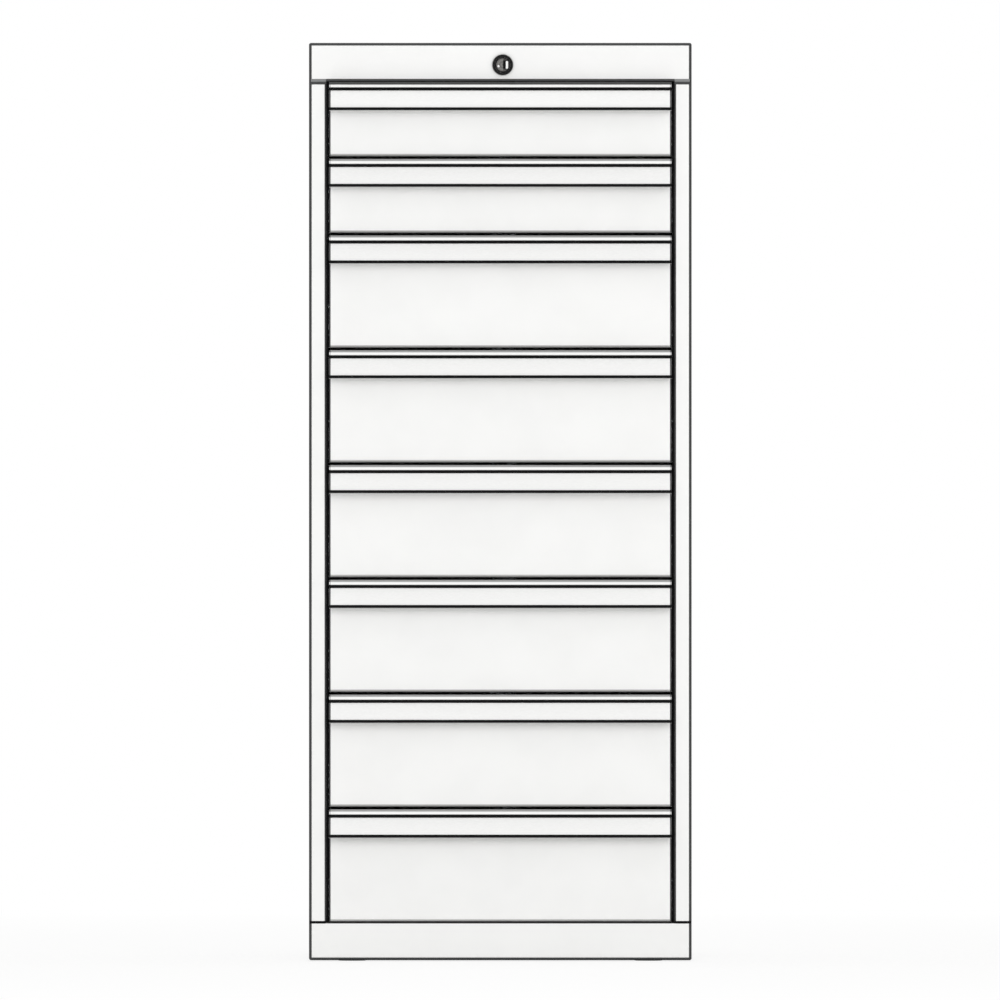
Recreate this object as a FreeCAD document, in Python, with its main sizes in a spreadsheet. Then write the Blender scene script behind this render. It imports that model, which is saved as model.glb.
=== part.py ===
import FreeCAD, Part
import os
import re

import Sketcher

# Free-standing steel cabinet for microscope slides: a folded carcass with a header and a plinth,
# two shallow and six deep drawers on telescopic runners, and one lock that holds every drawer.
# X is to the right, the drawers open towards -Y, Z is up. The origin is on the floor,
# in the middle of the cabinet's outline. All lengths are in millimetres.

NEAR = 0.001
SHALLOW_DRAWERS = 2
DEEP_DRAWERS = 6
LANES = 3
SCREW_ROWS = 5
SIDES = ("left", "right")
ENDS = ("front", "rear")
AFT = (0, 1, 0)
FORE = (0, -1, 0)

SIZES = {
    # carcass
    "cabinet_width": 400,
    "body_depth": 500,
    "header_height": 40,
    "plinth_height": 40,
    "floor_gap": 1,
    "carcass_sheet": 1.2,
    "stile_width": 18,
    "stile_return": 20,
    "edge_flange": 16,
    "bend_radius": 2.2,
    "seam_radius": 0.8,
    "back_sheet": 1,
    # drawer fronts
    "shallow_pitch": 80,
    "deep_pitch": 120,
    "front_gap": 3,
    "side_gap": 3,
    "front_depth": 17.5,
    "front_sheet": 1,
    "front_return": 22,
    "front_bend": 3,
    # grip strip along the top of each front, with its label
    "grip_lip": 6.2,
    "grip_band": 21.5,
    "grip_reach": 20,
    "grip_nose": 10,
    "grip_nose_round": 2.5,
    "grip_wall": 1.8,
    "grip_ledge": 9,
    "grip_leg": 17,
    "grip_hook": 1.7,
    "end_cap": 1.5,
    "label_thickness": 1,
    "label_groove": 1.3,
    "label_catch": 0.8,
    "label_stop": 0.5,
    "label_clearance": 0.15,
    # drawer boxes
    "box_sheet": 1,
    "box_rise": 6,
    "box_drop": 12,
    "rear_space": 50,
    "hem_height": 8,
    "divider_sheet": 1,
    "divider_foot": 12,
    "divider_drop": 16,
    "fit_gap": 0.3,
    "catch_width": 20,
    "catch_reach": 14,
    "catch_sheet": 2,
    "catch_rise": 45,
    "catch_drop": 10,
    # telescopic runners and the posts that carry them
    "runner_space": 12.7,
    "runner_height": 36,
    "runner_sheet": 1.2,
    "runner_rise": 10,
    "runner_setback": 2.5,
    "runner_play": 0.4,
    "post_depth": 30,
    "post_sheet": 1.5,
    "post_setback": 8,
    # lock
    "lock_drop": 23,
    "lock_offset": 2.5,
    "lock_rim_radius": 11,
    "lock_rim": 2,
    "lock_body_radius": 9.5,
    "lock_body_depth": 26,
    "lock_plug_radius": 8,
    "lock_play": 0.08,
    "lock_nut_size": 26,
    "lock_nut_depth": 5,
    "keyway_width": 2.4,
    "keyway_height": 10,
    "keyway_depth": 14,
    # rod that turns with the plug, its crank, and the bar that the crank lifts
    "rod_radius": 3,
    "rod_play": 0.1,
    "crank_radius": 11,
    "crank_sheet": 3,
    "crank_throw": 7,
    "crank_pin_radius": 2.5,
    "rod_gap": 1,
    "slot_play": 0.35,
    "bar_width": 26,
    "bar_sheet": 3,
    "bar_setback": 22,
    "bar_head": 6,
    "bar_foot": 20,
    "prong_gap": 6,
    "prong_height": 12,
    "prong_clear": 2,
    "prong_flange": 12,
    "guide_height": 18,
    "guide_wall": 4,
    "guide_rise": 62,
    "guide_play": 0.3,
    "bearing_sheet": 3,
    "bearing_width": 26,
    "bearing_edge": 8,
    # feet and fasteners
    "foot_inset": 45,
    "foot_radius": 16,
    "foot_height": 8,
    "foot_stud_radius": 4,
    "foot_stud_play": 0.05,
    "foot_stud_height": 36,
    "foot_plate": 3,
    "foot_plate_size": 62,
    "foot_plate_rise": 20,
    "screw_head_radius": 4,
    "screw_head": 2.2,
    "screw_radius": 2,
    "screw_play": 0.1,
    "screw_length": 8,
    "screw_recess_radius": 1.5,
    "screw_recess": 1.2,
    "screw_margin": 30,
    "wall_hole_radius": 3.5,
    "wall_hole_spacing": 280,
    "wall_hole_drop": 14,
    "overrun": 5,
}

doc = FreeCAD.newDocument("slide_cabinet")
sheet = doc.addObject("Spreadsheet::Sheet", "dims")
for row, (alias, size) in enumerate(SIZES.items(), 1):
    sheet.set(f"A{row}", alias)
    sheet.set(f"B{row}", str(size))
    sheet.setAlias(f"B{row}", alias)
doc.recompute()

ALIAS = re.compile(r"\b(" + "|".join(sorted(SIZES, key=len, reverse=True)) + r")\b")


def formula(text):
    """The expression for a sum written with the sheet's own names."""
    return ALIAS.sub(r"dims.\1", text)


def bind(thing, prop, text):
    thing.setExpression(prop, formula(text))


def place(thing, x, y, z):
    bind(thing, "Placement.Base.x", x)
    bind(thing, "Placement.Base.y", y)
    bind(thing, "Placement.Base.z", z)


# Planes that several pieces share, each worked out from the sheet.
STACK = f"({SHALLOW_DRAWERS}*shallow_pitch + {DEEP_DRAWERS}*deep_pitch)"
TOP = f"(plinth_height + header_height + {STACK})"
HALF = "(cabinet_width/2)"
FRONT = "((grip_reach - body_depth - screw_head)/2)"
BACK = f"({FRONT} + body_depth)"
OPENING = f"({HALF} - stile_width)"
FACE = f"({OPENING} - side_gap)"
HEADER = f"(plinth_height + {STACK})"
RUNNER_OUT = f"({OPENING} - side_gap/3)"
BOX_HALF = f"({RUNNER_OUT} - runner_space)"
RUNNER_FRONT = f"({FRONT} + front_depth + runner_setback)"
BOX_FRONT = f"({FRONT} + front_depth)"
BOX_BACK = f"({BACK} - rear_space)"
LOCK_X = "lock_offset"
LOCK_Z = f"({TOP} - lock_drop)"


def block(name, x, y, z):
    """A box between two corners; each of x, y and z is a (low, high) pair of sums."""
    box = doc.addObject("Part::Box", name)
    for prop, (low, high) in zip(("Length", "Width", "Height"), (x, y, z)):
        bind(box, prop, f"({high}) - ({low})")
    place(box, x[0], y[0], z[0])
    return box


def rod(name, radius, length, x, y, z, along=None):
    """A cylinder that starts at a point and runs along Z, or along another axis."""
    bar = doc.addObject("Part::Cylinder", name)
    bind(bar, "Radius", radius)
    bind(bar, "Height", length)
    if along is not None:
        turn = FreeCAD.Rotation(FreeCAD.Vector(0, 0, 1), FreeCAD.Vector(*along))
        bar.Placement = FreeCAD.Placement(FreeCAD.Vector(), turn)
    place(bar, x, y, z)
    return bar


def join(name, pieces):
    """One solid from pieces that are welded or formed together."""
    fused = doc.addObject("Part::MultiFuse", name)
    fused.Shapes = pieces
    fused.Refine = True
    return fused


def cut(name, base, *tools):
    """The base less each of the tools."""
    result = base
    for step, tool in enumerate(tools):
        part = doc.addObject("Part::Cut", f"{name}_{step}")
        part.Base = result
        part.Tool = tool
        part.Refine = True
        result = part
    return result


def group(name, pieces):
    """Separate solids that share one node."""
    together = doc.addObject("Part::Compound", name)
    together.Links = pieces
    return together


probe = doc.addObject("App::FeaturePython", "probe")
probe.addProperty("App::PropertyFloat", "Amount")


def number(text):
    """A sum of the sheet's values as a plain number."""
    bind(probe, "Amount", text)
    probe.recompute()
    return probe.Amount


def mirrored(side, near, far):
    """The (low, high) pair in X for a piece between two distances from the middle, on one side."""
    if side == "right":
        return (near, far)
    return (f"-({far})", f"-({near})")


def edges_along(shape, axis, spots):
    """Numbers of the straight edges along an axis whose middle lies at any of the given spots."""
    found = []
    for index, edge in enumerate(shape.Edges, 1):
        ends = [v.Point for v in edge.Vertexes]
        if len(ends) != 2 or edge.Curve.TypeId != "Part::GeomLine":
            continue
        run = ends[1] - ends[0]
        if abs(abs(getattr(run, axis)) - run.Length) > NEAR:
            continue
        middle = (ends[0] + ends[1]) / 2
        for spot in spots:
            if all(abs(getattr(middle, key) - number(text)) < NEAR for key, text in spot.items()):
                found.append(index)
    return found


def rounded(name, base, *bends):
    """The base with edges rounded; each bend is a radius, the edges' axis and their spots."""
    base.recompute(True)
    fillet = doc.addObject("Part::Fillet", name)
    fillet.Base = base
    edges = []
    for radius, axis, spots in bends:
        size = number(radius)
        edges += [(index, size, size) for index in edges_along(base.Shape, axis, spots)]
    fillet.Edges = edges
    return fillet


def channel(name, side, near, far, open_to, y, z, wall):
    """A folded channel that runs front to back, open towards the middle or towards the outside."""
    outer = block(f"{name}_outer", mirrored(side, near, far), y, z)
    if open_to == "middle":
        hollow_x = mirrored(side, f"{near} - overrun", f"{far} - {wall}")
    else:
        hollow_x = mirrored(side, f"{near} + {wall}", f"{far} + overrun")
    hollow_y = (f"{y[0]} - overrun", f"{y[1]} + overrun")
    hollow_z = (f"{z[0]} + {wall}", f"{z[1]} - {wall}")
    return cut(name, outer, block(f"{name}_hollow", hollow_x, hollow_y, hollow_z))


def profile_body(name, points, length, x, y, z, round_at=None, round_radius=None):
    """A body extruded along X from an outline in the YZ plane, each corner bound to the sheet."""
    body = doc.addObject("PartDesign::Body", name)
    outline = body.newObject("Sketcher::SketchObject", f"{name}_outline")
    plane = next(f for f in body.Origin.OriginFeatures if f.Role == "YZ_Plane")
    outline.AttachmentSupport = [(plane, "")]
    outline.MapMode = "FlatFace"
    spots = [FreeCAD.Vector(number(u), number(v), 0) for u, v in points]
    for here, there in zip(spots, spots[1:] + spots[:1]):
        outline.addGeometry(Part.LineSegment(here, there), False)
    count = len(points)
    for index in range(count):
        meet = Sketcher.Constraint("Coincident", index, 2, (index + 1) % count, 1)
        outline.addConstraint(meet)
    for index, (u, v) in enumerate(points):
        for kind, text, at in (("DistanceX", u, spots[index].x), ("DistanceY", v, spots[index].y)):
            datum = outline.addConstraint(Sketcher.Constraint(kind, -1, 1, index, 1, at))
            outline.renameConstraint(datum, f"{kind}{index}")
            bind(outline, f"Constraints.{kind}{index}", text)
    pad = body.newObject("PartDesign::Pad", f"{name}_pad")
    pad.Profile = outline
    bind(pad, "Length", length)
    if round_at is not None:
        pad.recompute(True)
        fillet = body.newObject("PartDesign::Fillet", f"{name}_round")
        found = edges_along(pad.Shape, "x", [{"y": round_at[0], "z": round_at[1]}])
        fillet.Base = (pad, [f"Edge{index}" for index in found])
        bind(fillet, "Radius", round_radius)
        body.Tip = fillet
    place(body, x, y, z)
    return body


def side_panel(side):
    """Outer wall with the stile at its front, a flange at its back and one at each end."""
    name = f"{side}_side_panel"
    x = mirrored(side, OPENING, HALF)
    y = (FRONT, BACK)
    shell = block(f"{name}_blank", x, y, ("plinth_height", HEADER))
    inner_z = ("plinth_height + carcass_sheet", f"{HEADER} - carcass_sheet")
    hollow_x = mirrored(side, f"{OPENING} + carcass_sheet", f"{HALF} - carcass_sheet")
    hollow_y = (f"{FRONT} + carcass_sheet", f"{BACK} - carcass_sheet")
    hollow = block(f"{name}_hollow", hollow_x, hollow_y, inner_z)
    mouth_x = mirrored(side, f"{OPENING} - overrun", f"{HALF} - stile_width/2")
    mouth_y = (f"{FRONT} + stile_return", f"{BACK} - carcass_sheet")
    mouth = block(f"{name}_mouth", mouth_x, mouth_y, inner_z)
    folded = cut(f"{name}_folded", shell, hollow, mouth, screw_holes(f"{name}_holes", side))
    edge_x = f"-{HALF}" if side == "left" else HALF
    inner_x = f"-{OPENING}" if side == "left" else OPENING
    upright = [{"x": edge_x, "y": FRONT}, {"x": edge_x, "y": BACK}, {"x": inner_x, "y": FRONT}]
    ends = [{"x": edge_x, "z": "plinth_height"}, {"x": edge_x, "z": HEADER}]
    return rounded(name, folded, ("bend_radius", "z", upright), ("seam_radius", "y", ends))


def screw_rows():
    """Heights of the back panel's screws, evenly spaced between the header and the plinth."""
    low = "(plinth_height + screw_margin)"
    span = f"({HEADER} - screw_margin - {low})"
    return [f"({low} + {span}*{row}/{SCREW_ROWS - 1})" for row in range(SCREW_ROWS)]


def screw_holes(name, side):
    x = f"({HALF} - stile_width/2)"
    if side == "left":
        x = f"-{x}"
    start = f"{BACK} - carcass_sheet - back_sheet - overrun"
    length = "carcass_sheet + back_sheet + 2*overrun"
    radius = "screw_radius + screw_play"
    holes = [
        rod(f"{name}_{row}", radius, length, x, start, z, AFT) for row, z in enumerate(screw_rows())
    ]
    return group(name, holes)


def top_cover():
    """Lid and header in one folded piece, open below between its return flanges."""
    z = (HEADER, TOP)
    shell = block("top_blank", (f"-{HALF}", HALF), (FRONT, BACK), z)
    inner = f"({HALF} - carcass_sheet)"
    wall_y = (f"{FRONT} + carcass_sheet", f"{BACK} - carcass_sheet")
    inner_z = (f"{HEADER} + carcass_sheet", f"{TOP} - carcass_sheet")
    hollow = block("top_hollow", (f"-{inner}", inner), wall_y, inner_z)
    mouth = f"({HALF} - edge_flange)"
    mouth_y = (f"{FRONT} + stile_return", f"{BACK} - edge_flange")
    mouth_z = (f"{HEADER} - overrun", f"{HEADER} + 2*carcass_sheet")
    opening = block("top_mouth", (f"-{mouth}", mouth), mouth_y, mouth_z)
    hole_length = "carcass_sheet + 2*overrun"
    hole_radius = "lock_body_radius + rod_play"
    hole = rod("top_lock_hole", hole_radius, hole_length, LOCK_X, f"{FRONT} - overrun", LOCK_Z, AFT)
    wall_z = f"{TOP} - wall_hole_drop"
    wall_holes = [
        rod(f"top_wall_hole_{side}", "wall_hole_radius", hole_length, x, f"{BACK} - overrun", wall_z, AFT)
        for side, x in (("left", "-wall_hole_spacing/2"), ("right", "wall_hole_spacing/2"))
    ]
    folded = cut("top_folded", shell, hollow, opening, hole, *wall_holes)
    return carcass_bends("top_cover", folded, TOP, HEADER)


def carcass_bends(name, folded, outer_z, seam_z):
    """Rounds the upright corners, the outer rim and the seam of the cover or the base."""
    corners = [{"x": x, "y": y} for x in (f"-{HALF}", HALF) for y in (FRONT, BACK)]
    rim_sides = [{"x": x, "z": outer_z} for x in (f"-{HALF}", HALF)]
    rim_ends = [{"y": y, "z": outer_z} for y in (FRONT, BACK)]
    seam_sides = [{"x": x, "z": seam_z} for x in (f"-{HALF}", HALF)]
    seam_ends = [{"y": y, "z": seam_z} for y in (FRONT, BACK)]
    return rounded(
        name,
        folded,
        ("bend_radius", "z", corners),
        ("bend_radius", "y", rim_sides),
        ("bend_radius", "x", rim_ends),
        ("seam_radius", "y", seam_sides),
        ("seam_radius", "x", seam_ends),
    )


def base_plinth():
    """Floor and plinth in one folded piece, with a plate in each corner for the foot's stud."""
    shell = block("base_blank", (f"-{HALF}", HALF), (FRONT, BACK), ("floor_gap", "plinth_height"))
    inner = f"({HALF} - carcass_sheet)"
    wall_y = (f"{FRONT} + carcass_sheet", f"{BACK} - carcass_sheet")
    inner_z = ("floor_gap + carcass_sheet", "plinth_height - carcass_sheet")
    hollow = block("base_hollow", (f"-{inner}", inner), wall_y, inner_z)
    mouth = f"({HALF} - edge_flange)"
    mouth_y = (f"{FRONT} + edge_flange", f"{BACK} - edge_flange")
    mouth_z = ("floor_gap - overrun", "floor_gap + 2*carcass_sheet")
    opening = block("base_mouth", (f"-{mouth}", mouth), mouth_y, mouth_z)
    folded = cut("base_folded", shell, hollow, opening)
    plates = [foot_plate(side, end) for side in SIDES for end in ENDS]
    welded = join("base_welded", [folded] + plates)
    return carcass_bends("base_plinth", welded, "floor_gap", "plinth_height")


def foot_spot(side, end):
    x = f"({HALF} - foot_inset)"
    if side == "left":
        x = f"-{x}"
    y = f"({FRONT} + foot_inset)" if end == "front" else f"({BACK} - foot_inset)"
    return x, y


def foot_plate(side, end):
    name = f"foot_plate_{side}_{end}"
    x = mirrored(side, f"{HALF} - carcass_sheet - foot_plate_size", f"{HALF} - carcass_sheet")
    if end == "front":
        y = (f"{FRONT} + carcass_sheet", f"{FRONT} + carcass_sheet + foot_plate_size")
    else:
        y = (f"{BACK} - carcass_sheet - foot_plate_size", f"{BACK} - carcass_sheet")
    plate = block(f"{name}_blank", x, y, ("foot_plate_rise", "foot_plate_rise + foot_plate"))
    at_x, at_y = foot_spot(side, end)
    hole_z = "foot_plate_rise - overrun"
    radius = "foot_stud_radius + foot_stud_play"
    return cut(name, plate, rod(f"{name}_hole", radius, "foot_plate + 2*overrun", at_x, at_y, hole_z))


def levelling_feet():
    """Four round feet, each with the stud that screws into its plate."""
    feet = []
    for side in SIDES:
        for end in ENDS:
            name = f"foot_{side}_{end}"
            x, y = foot_spot(side, end)
            pad = rod(f"{name}_pad", "foot_radius", "foot_height", x, y, "0")
            stud = rod(f"{name}_stud", "foot_stud_radius", "foot_stud_height", x, y, "0")
            feet.append(join(name, [pad, stud]))
    return group("levelling_feet", feet)


def back_panel():
    x = f"({HALF} - carcass_sheet - fit_gap)"
    y = (f"{BACK} - carcass_sheet - back_sheet", f"{BACK} - carcass_sheet")
    z = ("plinth_height + carcass_sheet", f"{HEADER} - carcass_sheet")
    panel = block("back_blank", (f"-{x}", x), y, z)
    return cut("back_panel", panel, *[screw_holes(f"back_holes_{side}", side) for side in SIDES])


def carcass_screws():
    """The screws that hold the back panel to the side panels, heads outwards."""
    screws = []
    for side in SIDES:
        x = f"({HALF} - stile_width/2)" if side == "right" else f"-({HALF} - stile_width/2)"
        for row, z in enumerate(screw_rows()):
            name = f"screw_{side}_{row}"
            head = rod(f"{name}_head", "screw_head_radius", "screw_head", x, BACK, z, AFT)
            shank = rod(f"{name}_shank", "screw_radius", "screw_length", x, BACK, z, FORE)
            recess_y = f"{BACK} + screw_head - screw_recess"
            recess_length = "screw_recess + overrun"
            recess = rod(f"{name}_recess", "screw_recess_radius", recess_length, x, recess_y, z, AFT)
            screws.append(cut(name, join(f"{name}_body", [head, shank]), recess))
    return group("carcass_screws", screws)


def runner_uprights():
    """Four folded posts, open towards the side panels, that carry the fixed rails."""
    posts = []
    for side in SIDES:
        for end in ENDS:
            name = f"post_{side}_{end}"
            if end == "front":
                low = f"({FRONT} + stile_return + post_setback)"
            else:
                low = f"({BOX_BACK} - post_setback - post_depth)"
            y = (low, f"{low} + post_depth")
            z = ("plinth_height + carcass_sheet", f"{HEADER} - carcass_sheet")
            x = mirrored(side, RUNNER_OUT, f"{HALF} - carcass_sheet")
            post = block(f"{name}_blank", x, y, z)
            hollow_x = mirrored(side, f"{RUNNER_OUT} + post_sheet", f"{HALF} + overrun")
            hollow_y = (f"{y[0]} + post_sheet", f"{y[1]} - post_sheet")
            hollow_z = (f"{z[0]} - overrun", f"{z[1]} + overrun")
            posts.append(cut(name, post, block(f"{name}_hollow", hollow_x, hollow_y, hollow_z)))
    return group("runner_uprights", posts)


def rail_z(floor, nested):
    """The height span of a rail, drawn in by its neighbours' sheet and play when it is nested."""
    inset = f"{nested}*(runner_sheet + runner_play)"
    low = f"({floor} + runner_rise + {inset})"
    return (low, f"({floor} + runner_rise + runner_height - {inset})")


def cabinet_rails():
    rails = []
    near = f"({BOX_HALF} + runner_sheet + runner_play)"
    y = (RUNNER_FRONT, BOX_BACK)
    for drawer in DRAWERS:
        for side in SIDES:
            name = f"rail_{drawer['name']}_{side}"
            z = rail_z(drawer["floor"], 0)
            rails.append(channel(name, side, near, RUNNER_OUT, "middle", y, z, "runner_sheet"))
    return group("cabinet_rails", rails)


def middle_rails(drawer):
    near = f"({BOX_HALF} + runner_sheet + runner_play)"
    far = f"({RUNNER_OUT} - runner_sheet - runner_play)"
    y = (RUNNER_FRONT, BOX_BACK)
    z = rail_z(drawer["floor"], 1)
    name = f"{drawer['name']}_middle_rails"
    rails = []
    for side in SIDES:
        rails.append(channel(f"{name}_{side}", side, near, far, "middle", y, z, "runner_sheet"))
    return group(name, rails)


def drawer_rails(drawer):
    far = f"({RUNNER_OUT} - 2*runner_sheet - 2*runner_play)"
    y = (RUNNER_FRONT, BOX_BACK)
    z = rail_z(drawer["floor"], 2)
    name = f"{drawer['name']}_rails"
    rails = []
    for side in SIDES:
        rails.append(channel(f"{name}_{side}", side, BOX_HALF, far, "outside", y, z, "runner_sheet"))
    return group(name, rails)


def drawer_front(drawer):
    """Folded front panel, open behind between its two side returns."""
    name = f"{drawer['name']}_front"
    low, high = drawer["floor"], f"({drawer['top']} - grip_wall)"
    shell = block(f"{name}_blank", (f"-{FACE}", FACE), (FRONT, BOX_FRONT), (low, high))
    inner = f"({FACE} - front_sheet)"
    hollow_y = (f"{FRONT} + front_sheet", f"{BOX_FRONT} - front_sheet")
    inner_z = (f"{low} + front_sheet", f"{high} - front_sheet")
    hollow = block(f"{name}_hollow", (f"-{inner}", inner), hollow_y, inner_z)
    mouth = f"({FACE} - front_return)"
    mouth_y = (f"{BOX_FRONT} - 2*front_sheet", f"{BOX_FRONT} + overrun")
    opening = block(f"{name}_mouth", (f"-{mouth}", mouth), mouth_y, inner_z)
    folded = cut(f"{name}_folded", shell, hollow, opening)
    fold = [{"y": FRONT, "z": low}]
    crease = [{"y": f"{FRONT} + front_sheet", "z": f"{low} + front_sheet"}]
    corners = [{"x": x, "y": FRONT} for x in (f"-{FACE}", FACE)]
    return rounded(
        name,
        folded,
        ("front_bend", "x", fold),
        ("front_bend - front_sheet", "x", crease),
        ("seam_radius", "z", corners),
    )


def drawer_tray(drawer):
    """Sheet folded up at both sides, with a hem along each, and the plates welded in at its ends."""
    name = f"{drawer['name']}_tray"
    low = f"({drawer['floor']} + box_rise)"
    high = f"({drawer['top']} - box_drop)"
    blank = block(f"{name}_blank", (f"-{BOX_HALF}", BOX_HALF), (BOX_FRONT, BOX_BACK), (low, high))
    inner = f"({BOX_HALF} - box_sheet)"
    inside_z = f"{low} + box_sheet"
    hollow_y = (f"{BOX_FRONT} - overrun", f"{BOX_BACK} + overrun")
    hollow = block(f"{name}_hollow", (f"-{inner}", inner), hollow_y, (inside_z, f"{high} + overrun"))
    hem_z = (f"{high} - hem_height", high)
    hems = []
    for side in SIDES:
        hem_x = mirrored(side, BOX_HALF, f"{BOX_HALF} + box_sheet")
        hems.append(block(f"{name}_hem_{side}", hem_x, (BOX_FRONT, BOX_BACK), hem_z))
    folded = join(name, [cut(f"{name}_folded", blank, hollow)] + hems)
    front_y = (BOX_FRONT, f"{BOX_FRONT} + box_sheet")
    rear_y = (f"{BOX_BACK} - box_sheet", BOX_BACK)
    front = block(f"{name}_front_plate", (f"-{inner}", inner), front_y, (inside_z, high))
    rear = block(f"{name}_rear_plate", (f"-{inner}", inner), rear_y, (inside_z, high))
    return [folded, front, rear]


def drawer_catch(drawer):
    """Bracket on the tray's back: a flange, an arm and the hook that the lock bar holds."""
    name = f"{drawer['name']}_catch"
    x = (f"{LOCK_X} - catch_width/2", f"{LOCK_X} + catch_width/2")
    arm_z = f"({drawer['floor']} + catch_rise)"
    flange_y = (BOX_BACK, f"{BOX_BACK} + catch_sheet")
    hook_y = (f"{BOX_BACK} + catch_reach - catch_sheet", f"{BOX_BACK} + catch_reach")
    flange = block(f"{name}_flange", x, flange_y, (f"{arm_z} - catch_drop", f"{arm_z} + catch_sheet"))
    arm = block(f"{name}_arm", x, (BOX_BACK, hook_y[1]), (arm_z, f"{arm_z} + catch_sheet"))
    hook = block(f"{name}_hook", x, hook_y, (f"{arm_z} - catch_drop", f"{arm_z} + catch_sheet"))
    return join(name, [flange, arm, hook])


def drawer_box(drawer):
    return group(f"{drawer['name']}_box", drawer_tray(drawer) + [drawer_catch(drawer)])


def dividers(drawer):
    """Two upright plates that part the tray into three lanes, each with a foot along the floor."""
    name = f"{drawer['name']}_dividers"
    floor = f"({drawer['floor']} + box_rise + box_sheet)"
    high = f"({drawer['top']} - box_drop - divider_drop)"
    y = (f"{BOX_FRONT} + box_sheet + fit_gap", f"{BOX_BACK} - box_sheet - fit_gap")
    plates = []
    for side in SIDES:
        lane = f"(({BOX_HALF} - box_sheet)/{LANES})"
        plate_x = mirrored(side, f"{lane} - divider_sheet/2", f"{lane} + divider_sheet/2")
        foot_x = mirrored(side, f"{lane} - divider_sheet/2", f"{lane} + divider_foot")
        plate = block(f"{name}_plate_{side}", plate_x, y, (floor, high))
        foot = block(f"{name}_foot_{side}", foot_x, y, (floor, f"{floor} + divider_sheet"))
        plates.append(join(f"{name}_{side}", [plate, foot]))
    return group(name, plates)


BED = "((grip_reach - grip_nose)/(grip_band + label_stop + label_catch))"
GRIP_FOOT = "(grip_lip + grip_band + label_stop + grip_hook)"


def grip_outline():
    """Section of the grip strip: Y from the front's face, Z from the strip's top."""
    lip_back = "-grip_nose + grip_hook"
    foot_back = "-grip_reach + grip_hook"
    inside = "-grip_nose + grip_hook + label_groove + grip_wall"
    return [
        ("grip_ledge", "0"),
        ("-grip_nose", "0"),
        ("-grip_nose", "-grip_lip"),
        (f"{lip_back} - {BED}*label_catch", "-grip_lip"),
        (lip_back, "-grip_lip + label_catch"),
        (f"{lip_back} + label_groove", "-grip_lip + label_catch"),
        (f"{foot_back} + label_groove", f"-{GRIP_FOOT} + grip_hook"),
        (foot_back, f"-{GRIP_FOOT} + grip_hook"),
        (f"{foot_back} + {BED}*label_stop", f"-{GRIP_FOOT} + grip_hook + label_stop"),
        ("-grip_reach", f"-{GRIP_FOOT} + grip_hook + label_stop"),
        ("-grip_reach", f"-{GRIP_FOOT}"),
        (f"{foot_back} + label_groove + grip_wall - {BED}*grip_hook", f"-{GRIP_FOOT}"),
        (f"{inside} + {BED}*(grip_lip - label_catch - grip_wall)", "-grip_wall"),
        ("-grip_wall", "-grip_wall"),
        ("-grip_wall", "-grip_leg"),
        ("0", "-grip_leg"),
        ("0", "-grip_wall"),
        ("grip_ledge", "-grip_wall"),
    ]


def cap_outline():
    """Section of the plate that closes each end of the grip strip."""
    return [
        ("0", "0"),
        ("-grip_nose", "0"),
        ("-grip_nose", "-grip_lip"),
        ("-grip_reach", f"-{GRIP_FOOT} + grip_hook + label_stop"),
        ("-grip_reach", f"-{GRIP_FOOT}"),
        (f"-grip_reach + grip_hook + label_groove + grip_wall - {BED}*grip_hook", f"-{GRIP_FOOT}"),
        ("0", "-grip_leg"),
    ]


def label_outline():
    """Section of the label strip, lying on the slope between its two grooves."""
    top = "-grip_nose + grip_hook + label_groove"
    foot = "-grip_reach + grip_hook + label_groove"
    top_y = f"{top} - (1 + {BED})*label_clearance"
    foot_y = f"{foot} - (1 - {BED})*label_clearance"
    top_z = "-grip_lip + label_catch - label_clearance"
    foot_z = f"-{GRIP_FOOT} + grip_hook + label_clearance"
    return [
        (top_y, top_z),
        (f"{top_y} - label_thickness", top_z),
        (f"{foot_y} - label_thickness", foot_z),
        (foot_y, foot_z),
    ]


def drawer_grip(drawer):
    """Grip strip along the front's upper edge, its two end caps and the label on its slope."""
    name = f"{drawer['name']}_grip"
    half = f"({FACE} - end_cap)"
    at = (FRONT, drawer["top"])
    nose = {"round_at": ("-grip_nose", "0"), "round_radius": "grip_nose_round"}
    strip = profile_body(f"{name}_strip", grip_outline(), f"2*{half}", f"-{half}", *at, **nose)
    caps = [
        profile_body(f"{name}_cap_{side}", cap_outline(), "end_cap", x, *at, **nose)
        for side, x in (("left", f"-{FACE}"), ("right", half))
    ]
    label_half = f"({half} - label_clearance)"
    label = profile_body(f"{name}_label", label_outline(), f"2*{label_half}", f"-{label_half}", *at)
    return group(name, [strip] + caps + [label])


BAR_FACE = f"({BOX_BACK} + bar_setback)"
CRANK_BACK = f"({BAR_FACE} - rod_gap)"
CRANK_FACE = f"({CRANK_BACK} - crank_sheet)"
CRANK_OFFSET = "(crank_throw*sqrt(2)/2)"


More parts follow.
